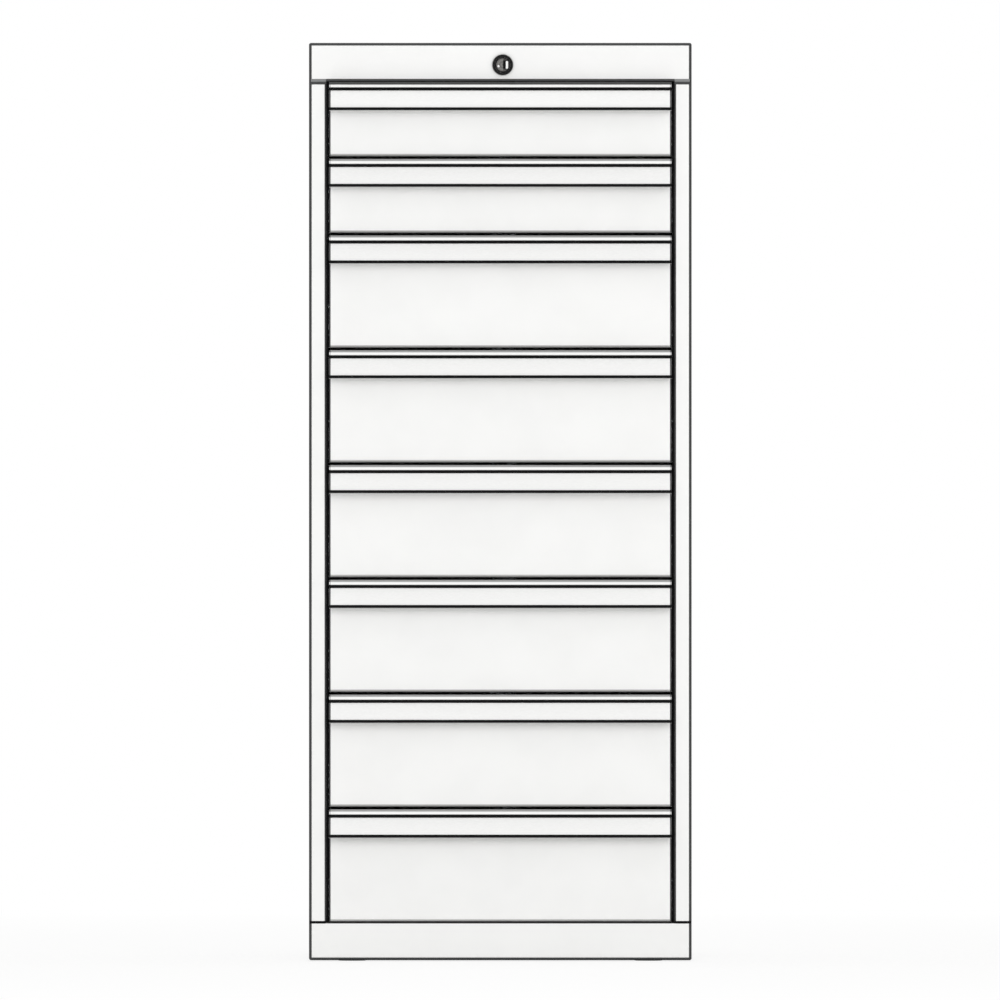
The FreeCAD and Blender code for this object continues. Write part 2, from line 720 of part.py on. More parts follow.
def lock_housing():
    """Rim and threaded barrel in one piece, and the nut that clamps it to the header."""
    rim = rod("lock_rim_blank", "lock_rim_radius", "lock_rim", LOCK_X, FRONT, LOCK_Z, FORE)
    barrel = rod("lock_barrel", "lock_body_radius", "lock_body_depth", LOCK_X, FRONT, LOCK_Z, AFT)
    bore_start = f"{FRONT} - lock_rim - overrun"
    bore_length = "lock_rim + lock_body_depth + 2*overrun"
    bore_radius = "lock_plug_radius + lock_play"
    bore = rod("lock_bore", bore_radius, bore_length, LOCK_X, bore_start, LOCK_Z, AFT)
    shell = cut("lock_shell", join("lock_shell_blank", [rim, barrel]), bore)
    nut = doc.addObject("Part::Prism", "lock_nut_blank")
    nut.Polygon = 6
    bind(nut, "Circumradius", "lock_nut_size/sqrt(3)")
    bind(nut, "Height", "lock_nut_depth")
    turn = FreeCAD.Rotation(FreeCAD.Vector(0, 0, 1), FreeCAD.Vector(*AFT))
    nut.Placement = FreeCAD.Placement(FreeCAD.Vector(), turn)
    place(nut, LOCK_X, f"{FRONT} + carcass_sheet", LOCK_Z)
    thread_length = "lock_nut_depth + 2*overrun"
    thread = rod("lock_thread", "lock_body_radius", thread_length, LOCK_X, FRONT, LOCK_Z, AFT)
    return group("lock_housing", [shell, cut("lock_nut", nut, thread)])


def lock_plug():
    face = f"({FRONT} - lock_rim)"
    length = "lock_rim + lock_body_depth"
    plug = rod("lock_plug_blank", "lock_plug_radius", length, LOCK_X, face, LOCK_Z, AFT)
    keyway_x = (f"{LOCK_X} - keyway_width/2", f"{LOCK_X} + keyway_width/2")
    keyway_z = (f"{LOCK_Z} - keyway_height/2", f"{LOCK_Z} + keyway_height/2")
    keyway = block("lock_keyway", keyway_x, (f"{face} - overrun", f"{face} + keyway_depth"), keyway_z)
    return cut("lock_plug", plug, keyway)


def lock_rod():
    """Rod from the plug to the back, with the crank disc and its pin at the rear end."""
    start = f"({FRONT} + lock_body_depth)"
    length = f"{CRANK_BACK} - {start}"
    shaft = rod("lock_rod_shaft", "rod_radius", length, LOCK_X, start, LOCK_Z, AFT)
    disc = rod("lock_rod_crank", "crank_radius", "crank_sheet", LOCK_X, CRANK_FACE, LOCK_Z, AFT)
    pin_x = f"{LOCK_X} - {CRANK_OFFSET}"
    pin_z = f"{LOCK_Z} - {CRANK_OFFSET}"
    pin_length = "crank_sheet + rod_gap + bar_sheet"
    pin = rod("lock_rod_pin", "crank_pin_radius", pin_length, pin_x, CRANK_FACE, pin_z, AFT)
    return join("lock_rod", [shaft, disc, pin])


def bar_prong(drawer):
    """Bracket on the lock bar, with an upright tip that rises in front of the drawer's hook."""
    name = f"prong_{drawer['name']}"
    x = (f"{LOCK_X} - bar_width/2", f"{LOCK_X} + bar_width/2")
    high = f"({drawer['floor']} + catch_rise - catch_drop - prong_clear)"
    low = f"({high} - prong_height)"
    tip_y = (f"{BOX_BACK} + prong_gap", f"{BOX_BACK} + prong_gap + bar_sheet")
    tip = block(f"{name}_tip", x, tip_y, (low, high))
    arm = block(f"{name}_arm", x, (tip_y[0], BAR_FACE), (low, f"{low} + bar_sheet"))
    flange_y = (f"{BAR_FACE} - bar_sheet", BAR_FACE)
    flange = block(f"{name}_flange", x, flange_y, (f"{low} - prong_flange", f"{low} + bar_sheet"))
    return join(name, [tip, arm, flange])


def lock_bar():
    """Upright bar that the crank lifts, with one prong for each drawer."""
    x = (f"{LOCK_X} - bar_width/2", f"{LOCK_X} + bar_width/2")
    y = (BAR_FACE, f"{BAR_FACE} + bar_sheet")
    strip = block("bar_strip", x, y, ("plinth_height + bar_foot", f"{LOCK_Z} + bar_head"))
    reach = "(crank_pin_radius + slot_play)"
    slot_x = (f"{LOCK_X} - crank_throw - {reach}", f"{LOCK_X} - {CRANK_OFFSET} + {reach}")
    slot_z = (f"{LOCK_Z} - {CRANK_OFFSET} - {reach}", f"{LOCK_Z} - {CRANK_OFFSET} + {reach}")
    slot = block("bar_slot", slot_x, (f"{y[0]} - overrun", f"{y[1]} + overrun"), slot_z)
    return group("lock_bar", [cut("bar_blank", strip, slot)] + [bar_prong(d) for d in DRAWERS])


def bar_guide(drawer):
    """Moulded block on the back panel that the lock bar slides through."""
    name = f"guide_{drawer['name']}"
    low = f"({drawer['floor']} + guide_rise)"
    reach = "(bar_width/2 + guide_play + guide_wall)"
    x = (f"{LOCK_X} - {reach}", f"{LOCK_X} + {reach}")
    y = (f"{BAR_FACE} - guide_play - guide_wall", f"{BACK} - carcass_sheet - back_sheet")
    body = block(f"{name}_body", x, y, (low, f"{low} + guide_height"))
    slot_x = (f"{x[0]} + guide_wall", f"{x[1]} - guide_wall")
    slot_y = (f"{BAR_FACE} - guide_play", f"{BAR_FACE} + bar_sheet + guide_play")
    slot_z = (f"{low} - overrun", f"{low} + guide_height + overrun")
    return cut(name, body, block(f"{name}_slot", slot_x, slot_y, slot_z))


def rod_bearing():
    """Plate that hangs from the lid and carries the rear end of the lock's rod."""
    x = (f"{LOCK_X} - bearing_width/2", f"{LOCK_X} + bearing_width/2")
    y = (f"{CRANK_FACE} - bearing_edge - bearing_sheet", f"{CRANK_FACE} - bearing_edge")
    z = (f"{LOCK_Z} - rod_radius - bearing_edge", f"{TOP} - carcass_sheet")
    plate = block("bearing_plate", x, y, z)
    length = "bearing_sheet + 2*overrun"
    start = f"{y[0]} - overrun"
    hole = rod("bearing_hole", "rod_radius + rod_play", length, LOCK_X, start, LOCK_Z, AFT)
    return cut("rod_bearing", plate, hole)


def lock_guides():
    guided = (DRAWERS[SHALLOW_DRAWERS], DRAWERS[-1])
    return group("lock_guides", [bar_guide(drawer) for drawer in guided] + [rod_bearing()])


def drawer_stack():
    """Name, floor and top of each drawer, counted from the header down."""
    drawers = []
    above = []
    pitches = ["shallow_pitch"] * SHALLOW_DRAWERS + ["deep_pitch"] * DEEP_DRAWERS
    for index, pitch in enumerate(pitches, 1):
        above.append(pitch)
        floor = f"({HEADER} - ({' + '.join(above)}) + front_gap/2)"
        top = f"({floor} + {pitch} - front_gap)"
        name = f"drawer_{index}"
        drawers.append({"name": name, "index": index, "floor": floor, "top": top, "pitch": pitch})
    return drawers


DRAWERS = drawer_stack()


def cabinet():
    """Every node of the cabinet by its file name."""
    nodes = {
        "left_side_panel": side_panel("left"),
        "right_side_panel": side_panel("right"),
        "top_cover": top_cover(),
        "base_plinth": base_plinth(),
        "back_panel": back_panel(),
        "carcass_screws": carcass_screws(),
        "runner_uprights": runner_uprights(),
        "cabinet_rails": cabinet_rails(),
        "levelling_feet": levelling_feet(),
        "lock_housing": lock_housing(),
        "lock_guides": lock_guides(),
        "lock_plug": lock_plug(),
        "lock_rod": lock_rod(),
        "lock_bar": lock_bar(),
    }
    for drawer in DRAWERS:
        name = drawer["name"]
        nodes[f"{name}_front"] = drawer_front(drawer)
        nodes[f"{name}_box"] = drawer_box(drawer)
        nodes[f"{name}_grip"] = drawer_grip(drawer)
        nodes[f"{name}_rails"] = drawer_rails(drawer)
        if drawer["pitch"] == "deep_pitch":
            nodes[f"{name}_dividers"] = dividers(drawer)
        nodes[f"runner_{drawer['index']}"] = middle_rails(drawer)
    return nodes


nodes = cabinet()
doc.recompute()
for thing in doc.Objects:
    if {"Invalid", "Error"} & set(thing.State):
        raise RuntimeError(f"{thing.Name} didn't compute: {thing.State}")
os.makedirs("parts", exist_ok=True)
for name, node in nodes.items():
    node.Label = name
    if node.Shape.isNull() or not node.Shape.isValid() or not node.Shape.Solids:
        raise RuntimeError(f"{name} has no valid shape")
for name, node in nodes.items():
    node.Shape.exportStep(f"parts/{name}.step")
    print(name, len(node.Shape.Solids), "solids", round(node.Shape.Volume), "mm3")
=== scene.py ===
import math

import bmesh
import bpy
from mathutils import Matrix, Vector


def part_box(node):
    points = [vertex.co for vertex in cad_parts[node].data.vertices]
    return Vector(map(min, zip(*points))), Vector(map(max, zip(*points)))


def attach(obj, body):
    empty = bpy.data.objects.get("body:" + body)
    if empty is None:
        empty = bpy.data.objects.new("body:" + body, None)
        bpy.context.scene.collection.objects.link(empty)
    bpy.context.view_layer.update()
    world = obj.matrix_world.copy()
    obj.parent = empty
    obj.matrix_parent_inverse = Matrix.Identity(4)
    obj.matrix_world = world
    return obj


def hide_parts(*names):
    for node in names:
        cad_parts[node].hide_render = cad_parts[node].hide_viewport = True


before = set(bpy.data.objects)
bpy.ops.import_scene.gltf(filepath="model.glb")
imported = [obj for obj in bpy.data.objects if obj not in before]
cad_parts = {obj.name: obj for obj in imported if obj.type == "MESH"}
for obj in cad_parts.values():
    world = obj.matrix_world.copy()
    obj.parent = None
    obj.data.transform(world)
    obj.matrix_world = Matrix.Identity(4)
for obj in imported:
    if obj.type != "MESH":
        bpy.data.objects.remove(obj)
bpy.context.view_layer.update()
mm = 0.001
scene = bpy.context.scene
drawerNumbers = range(1, 9)
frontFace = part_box("drawer_1_front")[0].y  # plane of the drawer fronts and of the cabinet's front edges
print("frame loaded:", len(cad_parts), "nodes")


def addObject(name, data):
    made = bpy.data.objects.new(name, data)
    scene.collection.objects.link(made)
    return made


# camera: straight at the front, from so far away that the view is nearly parallel

cameraView = {"lens": 1000, "sensor": 36, "pictureWidth": 1.0454, "x": -0.00033, "z": 0.4821}


def setCamera():
    data = bpy.data.cameras.new("frontCamera")
    data.lens = cameraView["lens"]
    data.sensor_width = cameraView["sensor"]
    distance = cameraView["pictureWidth"] * cameraView["lens"] / cameraView["sensor"]
    data.clip_start = distance * 0.1
    data.clip_end = distance * 3
    camera = addObject("frontCamera", data)
    camera.location = (cameraView["x"], frontFace - distance, cameraView["z"])
    camera.rotation_euler = (math.radians(90), 0, 0)
    scene.camera = camera


setCamera()


# materials: colours are sRGB hex, patterns are sized in millimetres and read Object coordinates

def linear(hexColour):
    parts = [int(hexColour[i : i + 2], 16) / 255 for i in (0, 2, 4)]
    return tuple(c / 12.92 if c <= 0.04045 else ((c + 0.055) / 1.055) ** 2.4 for c in parts) + (1.0,)


def connect(tree, source, node, key):
    # the source is a socket, or a node for its first output
    tree.links.new(getattr(source, "outputs", [source])[0], node.inputs[key])


def addNode(tree, kind, settings=None, links=None):
    node = tree.nodes.new(kind)
    for key, value in (settings or {}).items():
        if isinstance(key, str) and hasattr(node, key):
            setattr(node, key, value)
        else:
            node.inputs[key].default_value = value
    for key, source in (links or {}).items():
        connect(tree, source, node, key)
    return node


def perMillimetre(size):
    return 1 / (size * mm)  # a texture's scale from the size of its pattern


def newMaterial(name, hexColour, roughness, metallic=0.0, **sockets):
    material = bpy.data.materials.new(name)
    material.use_nodes = True
    shader = material.node_tree.nodes["Principled BSDF"]
    shader.inputs["Base Color"].default_value = linear(hexColour)
    shader.inputs["Roughness"].default_value = roughness
    shader.inputs["Metallic"].default_value = metallic
    for socket, value in sockets.items():
        shader.inputs[socket.replace("_", " ")].default_value = value
    return material, material.node_tree, shader


def objectPoint(tree, stretch=(1, 1, 1)):
    place = addNode(tree, "ShaderNodeTexCoord").outputs["Object"]
    return addNode(tree, "ShaderNodeMapping", {"Scale": stretch}, {"Vector": place})


def varied(tree, shader, hexLight, hexDark, size, stretch=(1, 1, 1), detail=3.0, low=0.35, high=0.65):
    pattern = {"Scale": perMillimetre(size), "Detail": detail}
    noise = addNode(tree, "ShaderNodeTexNoise", pattern, {"Vector": objectPoint(tree, stretch)})
    ramp = addNode(tree, "ShaderNodeValToRGB", {}, {"Fac": noise})
    ramp.color_ramp.elements[0].position = low
    ramp.color_ramp.elements[0].color = linear(hexDark)
    ramp.color_ramp.elements[1].position = high
    ramp.color_ramp.elements[1].color = linear(hexLight)
    connect(tree, ramp, shader, "Base Color")
    return ramp


def bumped(tree, shader, height, depth, strength=1.0):
    bump = addNode(tree, "ShaderNodeBump", {"Strength": strength, "Distance": depth * mm}, {"Height": height})
    connect(tree, bump, shader, "Normal")


def raised(tree, shader, size, detail, stretch, depth, strength):
    # a fine relief of noise
    pattern = {"Scale": perMillimetre(size), "Detail": detail}
    noise = addNode(tree, "ShaderNodeTexNoise", pattern, {"Vector": objectPoint(tree, stretch)})
    bumped(tree, shader, noise, depth, strength)


def roughened(tree, shader, size, low, high, stretch=(1, 1, 1), edgeShadeMask=None):
    # the mask given here marks the painted edge shade on bends and corners; the coat is made duller there too
    pattern = {"Scale": perMillimetre(size), "Detail": 2.0}
    noise = addNode(tree, "ShaderNodeTexNoise", pattern, {"Vector": objectPoint(tree, stretch)})
    limits = {"To Min": low, "To Max": high}
    result = addNode(tree, "ShaderNodeMapRange", limits, {"Value": noise})
    if edgeShadeMask is not None:
        dull = {"data_type": "FLOAT", 3: coatLook["dull"]}
        result = addNode(tree, "ShaderNodeMix", dull, {0: edgeShadeMask, 2: result})
    connect(tree, result, shader, "Roughness")


def cornerBand(tree, low, high, width):
    # a band of painted shade along the edges of the box from low to high, where the middle one of the
    # distances to its faces is small; it draws dark outlines on the corners
    centre, half = (low + high) / 2, (high - low) / 2
    point = addNode(tree, "ShaderNodeTexCoord").outputs["Object"]
    moved = addNode(tree, "ShaderNodeVectorMath", {"operation": "SUBTRACT", 1: centre}, {0: point})
    away = addNode(tree, "ShaderNodeVectorMath", {"operation": "ABSOLUTE"}, {0: moved})
    left = addNode(tree, "ShaderNodeVectorMath", {"operation": "SUBTRACT", 0: half}, {1: away})
    x, y, z = addNode(tree, "ShaderNodeSeparateXYZ", {}, {"Vector": left}).outputs
    less = addNode(tree, "ShaderNodeMath", {"operation": "MINIMUM"}, {0: x, 1: y})
    more = addNode(tree, "ShaderNodeMath", {"operation": "MAXIMUM"}, {0: x, 1: y})
    other = addNode(tree, "ShaderNodeMath", {"operation": "MINIMUM"}, {0: more, 1: z})
    middle = addNode(tree, "ShaderNodeMath", {"operation": "MAXIMUM"}, {0: less, 1: other})
    sharp = width * coatLook["bandSharp"]
    fade = {"From Min": width * mm, "From Max": sharp * mm, "To Max": coatLook["edgeShare"]}
    return addNode(tree, "ShaderNodeMapRange", fade, {"Value": middle})


def edgeAndCreaseShade(tree, shader, colour, edgeShare, creaseShare, creaseReach, band=None):
    # painted shade: the colour goes dark over bends and outer corners, where they turn from the light, and an
    # ambient occlusion shade greys the inner corners
    normal = addNode(tree, "ShaderNodeNewGeometry").outputs["Normal"]
    square = addNode(tree, "ShaderNodeVectorMath", {"operation": "MULTIPLY"}, {0: normal, 1: normal})
    flat = addNode(tree, "ShaderNodeVectorMath", {"operation": "DOT_PRODUCT"}, {0: square, 1: square})
    fade = {"From Min": 0.995, "From Max": 0.8}
    bend = addNode(tree, "ShaderNodeMapRange", fade, {"Value": flat.outputs["Value"]})
    edgeShadeMask = addNode(tree, "ShaderNodeMath", {"operation": "MULTIPLY", 1: edgeShare}, {0: bend})
    if band is not None:
        edgeShadeMask = addNode(tree, "ShaderNodeMath", {"operation": "MAXIMUM"}, {0: edgeShadeMask, 1: band})
    # the dark tone of the painted edge shade
    dark = {"data_type": "RGBA", 7: linear(coatLook["edge"])}
    edged = addNode(tree, "ShaderNodeMix", dark, {0: edgeShadeMask, 6: colour}).outputs[2]
    # painted shade in creases, from ambient occlusion
    near = addNode(tree, "ShaderNodeAmbientOcclusion", {"samples": 8, "Distance": creaseReach * mm})
    fade = {"From Min": 0.95, "From Max": 0.35, "To Max": creaseShare}
    depth = addNode(tree, "ShaderNodeMapRange", fade, {"Value": near.outputs["AO"]})
    creaseShadeTone = {"data_type": "RGBA", 7: linear(coatLook["crease"])}
    creased = addNode(tree, "ShaderNodeMix", creaseShadeTone, {0: depth, 6: edged}).outputs[2]
    connect(tree, creased, shader, "Base Color")
    return edgeShadeMask


coatLook = {
    "peel": 2.2,  # size of the orange peel
    "peelDepth": 0.05,
    "grain": 4,
    # painted shade: the dark tone over bends and corners
    "edge": "141517",
    "edgeShare": 0.96,  # how far the painted edge shade goes to its dark tone
    "bandSharp": 0.85,  # share of a corner's band that is fully dark with painted shade
    "dull": 0.95,  # roughness where the painted edge shade lies
    # painted shade: the grey tone in creases
    "crease": "2A2C2E",
    "creaseShare": 0.5,
    "creaseReach": 6,
}


def powderCoat(name, hexLight, hexDark, roughness, edgeShare=coatLook["edgeShare"], band=None):
    # polyester powder coat, sprayed and baked: satin, with a faint orange peel
    material, tree, shader = newMaterial(name, hexLight, roughness, Coat_Weight=0.12, Coat_Roughness=0.25)
    colour = varied(tree, shader, hexLight, hexDark, 60, detail=2.0)
    raised(tree, shader, coatLook["peel"], 1.0, (1, 1, 1), coatLook["peelDepth"], 0.5)
    # painted shade: dark over bends and along the corner band, grey in the creases
    band = cornerBand(tree, *band) if band else None
    edgeShadeMask = edgeAndCreaseShade(tree, shader, colour, edgeShare, coatLook["creaseShare"], coatLook["creaseReach"], band)
    roughened(tree, shader, coatLook["grain"], roughness - 0.05, roughness + 0.07, edgeShadeMask=edgeShadeMask)
    return material


def extrudedCoat(name, hexLight, hexDark, roughness):
    # powder coat on an aluminium extrusion: die lines run along the strip under the coat
    material, tree, shader = newMaterial(name, hexLight, roughness, Coat_Weight=0.12, Coat_Roughness=0.22)
    colour = varied(tree, shader, hexLight, hexDark, 40, (0.1, 1, 1), detail=2.0)
    raised(tree, shader, 0.8, 2.0, (0.01, 1, 1), 0.04, 0.5)
    # painted shade: dark over bends, grey in the creases
    edgeShadeMask = edgeAndCreaseShade(tree, shader, colour, 0.62, 0.35, 4)
    roughened(tree, shader, coatLook["grain"], roughness - 0.04, roughness + 0.06, edgeShadeMask=edgeShadeMask)
    return material


def mouldedPlastic(name, hexLight, hexDark, roughness, spark, depth, edgeShare=0.0, **sockets):
    # injection moulded: even colour, and the fine spark texture of the mould
    material, tree, shader = newMaterial(name, hexLight, roughness, **sockets)
    colour = varied(tree, shader, hexLight, hexDark, 12, detail=2.0)
    # with an edge share, painted shade: dark over bends, grey in the creases
    if edgeShare:
        edgeAndCreaseShade(tree, shader, colour, edgeShare, 0.3, 3)
    point = objectPoint(tree)
    cells = addNode(tree, "ShaderNodeTexVoronoi", {"Scale": perMillimetre(spark)}, {"Vector": point})
    bumped(tree, shader, cells, depth, 0.6)
    roughened(tree, shader, spark * 6, roughness - 0.06, roughness + 0.08)
    return material


def labelPaper(name, hexLight, hexDark):
    # smooth label card behind a thin matt film: faint fibres, soft sheen from the film
    material, tree, shader = newMaterial(name, hexLight, 0.6, Coat_Weight=0.3, Coat_Roughness=0.3)
    varied(tree, shader, hexLight, hexDark, 0.9, (0.25, 1, 1), detail=4.0)
    raised(tree, shader, 0.7, 3.0, (0.3, 1, 1), 0.02, 0.5)
    return material


def rolledSteel(name, hexLight, hexDark, roughness, streak=1.2):
    # cold rolled steel, bright zinc plated: fine streaks run along the way it was rolled, front to back
    material, tree, shader = newMaterial(name, hexLight, roughness, 1.0)
    stretch = (1.0, 0.03, 1.0)
    varied(tree, shader, hexLight, hexDark, streak, stretch, detail=4.0, low=0.3, high=0.7)
    roughened(tree, shader, streak, roughness - 0.1, roughness + 0.12, stretch)
    raised(tree, shader, streak / 2, 2.0, stretch, 0.02, 0.4)
    return material


def spangledZinc(name, hexLight, hexDark, roughness, crystal):
    # zinc plated sheet: soft patches where the crystals lie at other angles
    material, tree, shader = newMaterial(name, hexLight, roughness, 1.0)
    point = objectPoint(tree)
    cells = addNode(tree, "ShaderNodeTexVoronoi", {"Scale": perMillimetre(crystal)}, {"Vector": point})
    tone = addNode(tree, "ShaderNodeSeparateColor", {}, {"Color": cells.outputs["Color"]})
    tones = {"data_type": "RGBA", 6: linear(hexDark), 7: linear(hexLight)}
    mix = addNode(tree, "ShaderNodeMix", tones, {0: tone.outputs[0]})
    connect(tree, mix.outputs[2], shader, "Base Color")
    limits = {"To Min": roughness - 0.08, "To Max": roughness + 0.1}
    spread = addNode(tree, "ShaderNodeMapRange", limits, {"Value": tone.outputs[1]})
    connect(tree, spread, shader, "Roughness")
    return material


def turnedNickel(name, hexLight, hexDark, roughness, ring, depth):
    # nickel plated brass, turned: rings round the lock's axis, each a tool mark
    material, tree, shader = newMaterial(name, hexLight, roughness, 1.0)
    place = addNode(tree, "ShaderNodeTexCoord").outputs["Object"]
    moved = addNode(tree, "ShaderNodeMapping", {"Location": (-lockX, 0, -lockZ)}, {"Vector": place})
    pattern = {"wave_type": "RINGS", "rings_direction": "Y", "Distortion": 1.0}
    pattern["Scale"] = perMillimetre(ring) / 20  # a wave at scale 1 is a twentieth of a unit long
    rings = addNode(tree, "ShaderNodeTexWave", pattern, {"Vector": moved})
    tones = {"data_type": "RGBA", 6: linear(hexDark), 7: linear(hexLight)}
    mix = addNode(tree, "ShaderNodeMix", tones, {0: rings.outputs["Fac"]})
    connect(tree, mix.outputs[2], shader, "Base Color")
    bumped(tree, shader, rings.outputs["Fac"], depth, 0.5)
    return material


lockLow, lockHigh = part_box("lock_plug")
lockX = (lockLow.x + lockHigh.x) / 2
lockZ = (lockLow.z + lockHigh.z) / 2

# painted edge shade along the corners: low and high corner of a box, and the band's width
bodyBand = (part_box("base_plinth")[0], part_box("top_cover")[1], 3.1)
frontLow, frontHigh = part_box("drawer_1_front")
farDown, farUp = -9, 9  # so far off that only the upright edges are marked
frontBand = (Vector((frontLow.x, frontLow.y, farDown)), Vector((frontHigh.x, frontHigh.y, farUp)), 1.7)

# the black shade strips and the bezel's fine mould texture mirror less than plain plastic
shadeStripSheen = {"Specular_IOR_Level": 0.15}
bezelSheen = {"Specular_IOR_Level": 0.25}

looks = {
    "cabinetCoat": powderCoat("whitePowderCoat", "FAFAF9", "F8F8F7", 0.42, band=bodyBand),
    "frontCoat": powderCoat("whiteFrontPowderCoat", "FAFAF9", "F7F7F6", 0.4, 0.4, band=frontBand),
    "backCoat": powderCoat("whiteBackPowderCoat", "EFEFED", "ECECEA", 0.5),
    "trayCoat": powderCoat("lightGreyPowderCoat", "DCDEDF", "D7D9DA", 0.48),
    "dividerCoat": powderCoat("greyDividerPowderCoat", "D4D6D7", "CFD1D2", 0.48),
    "gripCoat": extrudedCoat("coatedAluminiumExtrusion", "FAFAF9", "F6F6F5", 0.36),
    "capPlastic": mouldedPlastic("whiteMouldedAbs", "F6F6F5", "F2F2F1", 0.42, 0.5, 0.02, 0.96, IOR=1.53),
    "labelCard": labelPaper("filmedLabelCard", "FDFDFC", "F9F9F8"),
    # black and grey strips that stand in for the shade in gaps, grooves and seams
    "gapShadeBlack": mouldedPlastic("blackFlockedSeal", "060607", "0A0A0B", 0.8, 0.4, 0.01, **shadeStripSheen),
    "darkShadeStrip": mouldedPlastic("darkGreyTrimPvc", "363737", "3B3C3C", 0.7, 0.6, 0.01, IOR=1.52),
    "greyShadeStrip": mouldedPlastic("greyTrimPvc", "838484", "898A8A", 0.65, 0.6, 0.01, IOR=1.52),
    "runnerSteel": rolledSteel("rolledRunnerSteel", "C9CCCE", "A9ACAE", 0.32),
    "ballSteel": rolledSteel("polishedBallSteel", "D8DADB", "C6C8C9", 0.16, 4),
    "cageSteel": rolledSteel("pressedCageSteel", "B4B6B4", "989A98", 0.4),
    "zincSheet": spangledZinc("zincPlatedSheet", "C6CACC", "A6AAAD", 0.38, 3.0),
    "zincRod": rolledSteel("zincPlatedRod", "C4C8CA", "A8ACAE", 0.3),
    "screwZinc": rolledSteel("zincPlatedScrewSteel", "CDCFCE", "A4A6A6", 0.3, 0.6),
    "rimNickel": turnedNickel("polishedNickelRim", "858481", "6C6B68", 0.22, 0.7, 0.01),
    "plugNickel": turnedNickel("turnedNickelPlug", "4E4D4B", "403F3E", 0.34, 0.5, 0.02),
    "bezelNylon": mouldedPlastic("blackBezelNylon", "060606", "0A0A0B", 0.7, 0.5, 0.01, **bezelSheen),
    # white: painted highlights on the lock's plug
    "highlightWhite": mouldedPlastic("whiteMarkEnamel", "FAFAF8", "F5F5F3", 0.3, 0.6, 0.01, IOR=1.5),
    # near black: painted shade in the keyway
    "keywayShade": mouldedPlastic("darkKeywayBrass", "0B0A09", "161412", 0.6, 0.6, 0.02),
    "guideNylon": mouldedPlastic("naturalNylon", "E6E3D6", "DEDBCE", 0.45, 0.6, 0.02, IOR=1.53),
    "footNylon": mouldedPlastic("blackMouldedNylon", "17181A", "1E1F21", 0.5, 0.7, 0.03, IOR=1.53),
}
slotLooks = {
    "cabinet_paint": "cabinetCoat",
    "front_paint": "frontCoat",
    "back_paint": "backCoat",
    "tray_paint": "trayCoat",
    "divider_paint": "dividerCoat",
    "grip_coating": "gripCoat",
    "runner_steel": "runnerSteel",
    "zinc_steel": "zincSheet",
    "screw_steel": "screwZinc",
    "lock_nickel": "rimNickel",
    "plug_nickel": "plugNickel",
    "guide_nylon": "guideNylon",
    "foot_plastic": "footNylon",
}
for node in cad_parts.values():
    for slot in node.material_slots:
        slot.material = looks[slotLooks[slot.material.name]]
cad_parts["lock_rod"].material_slots[0].material = looks["zincRod"]
print("materials made:", len(looks))


# mesh helpers: sections are drawn in millimetres and pushed along an axis

def rounded(points, closed=True, steps=4):
    # each point is (u, v) or (u, v, radius): corners with a radius become arcs
    path = []
    count = len(points)
    for i, point in enumerate(points):
        corner = Vector(point[:2])
        radius = point[2] if len(point) > 2 else 0
        if radius <= 0 or (not closed and i in (0, count - 1)):
            path.append(corner)
            continue
        before = Vector(points[i - 1][:2]) - corner
        after = Vector(points[(i + 1) % count][:2]) - corner
        half = before.angle(after) / 2
        reach = min(radius / math.tan(half), before.length * 0.499, after.length * 0.499)
        size = reach * math.tan(half)
        centre = corner + (before.normalized() + after.normalized()).normalized() * (size / math.sin(half))
        start = corner + before.normalized() * reach - centre
        end = corner + after.normalized() * reach - centre
        turn = start.angle(end)
        for step in range(steps + 1):
            share = step / steps
            arm = (start * math.sin((1 - share) * turn) + end * math.sin(share * turn)) / math.sin(turn)
            path.append(centre + arm)
    return path


def addPoint(mesh, axis, u, v, along):
    # u and v span the section: (y, z) along x, (x, z) along y, (x, y) along z
    place = {"x": (along, u, v), "y": (u, along, v), "z": (u, v, along)}[axis]
    return mesh.verts.new(Vector(place) * mm)


def prism(mesh, outline, axis, spans):
    count = len(outline)
    for span in spans:
        rings = [[addPoint(mesh, axis, p[0], p[1], at) for p in outline] for at in span]
        for i in range(count):
            mesh.faces.new([rings[0][i], rings[0][(i + 1) % count], rings[1][(i + 1) % count], rings[1][i]])
        mesh.faces.new(rings[0])
        mesh.faces.new(list(reversed(rings[1])))
    return mesh


def sheetStrip(mesh, path, thickness, axis, start, end):
    # a bent sheet: the path is its middle line
    count = len(path)
    sides = ([], [])
    for i, point in enumerate(path):
        ahead = (path[min(i + 1, count - 1)] - path[max(i - 1, 0)]).normalized()
        offset = Vector((-ahead.y, ahead.x)) * (thickness / 2)
        sides[0].append(point + offset)
        sides[1].append(point - offset)
    grid = [[[addPoint(mesh, axis, p.x, p.y, at) for p in side] for side in sides] for at in (start, end)]
    for i in range(count - 1):
        for side in (0, 1):
            mesh.faces.new([grid[0][side][i], grid[0][side][i + 1], grid[1][side][i + 1], grid[1][side][i]])
        for ends in grid:
            mesh.faces.new([ends[0][i], ends[0][i + 1], ends[1][i + 1], ends[1][i]])
    for i in (0, count - 1):
        mesh.faces.new([grid[0][0][i], grid[0][1][i], grid[1][1][i], grid[1][0][i]])
    return mesh


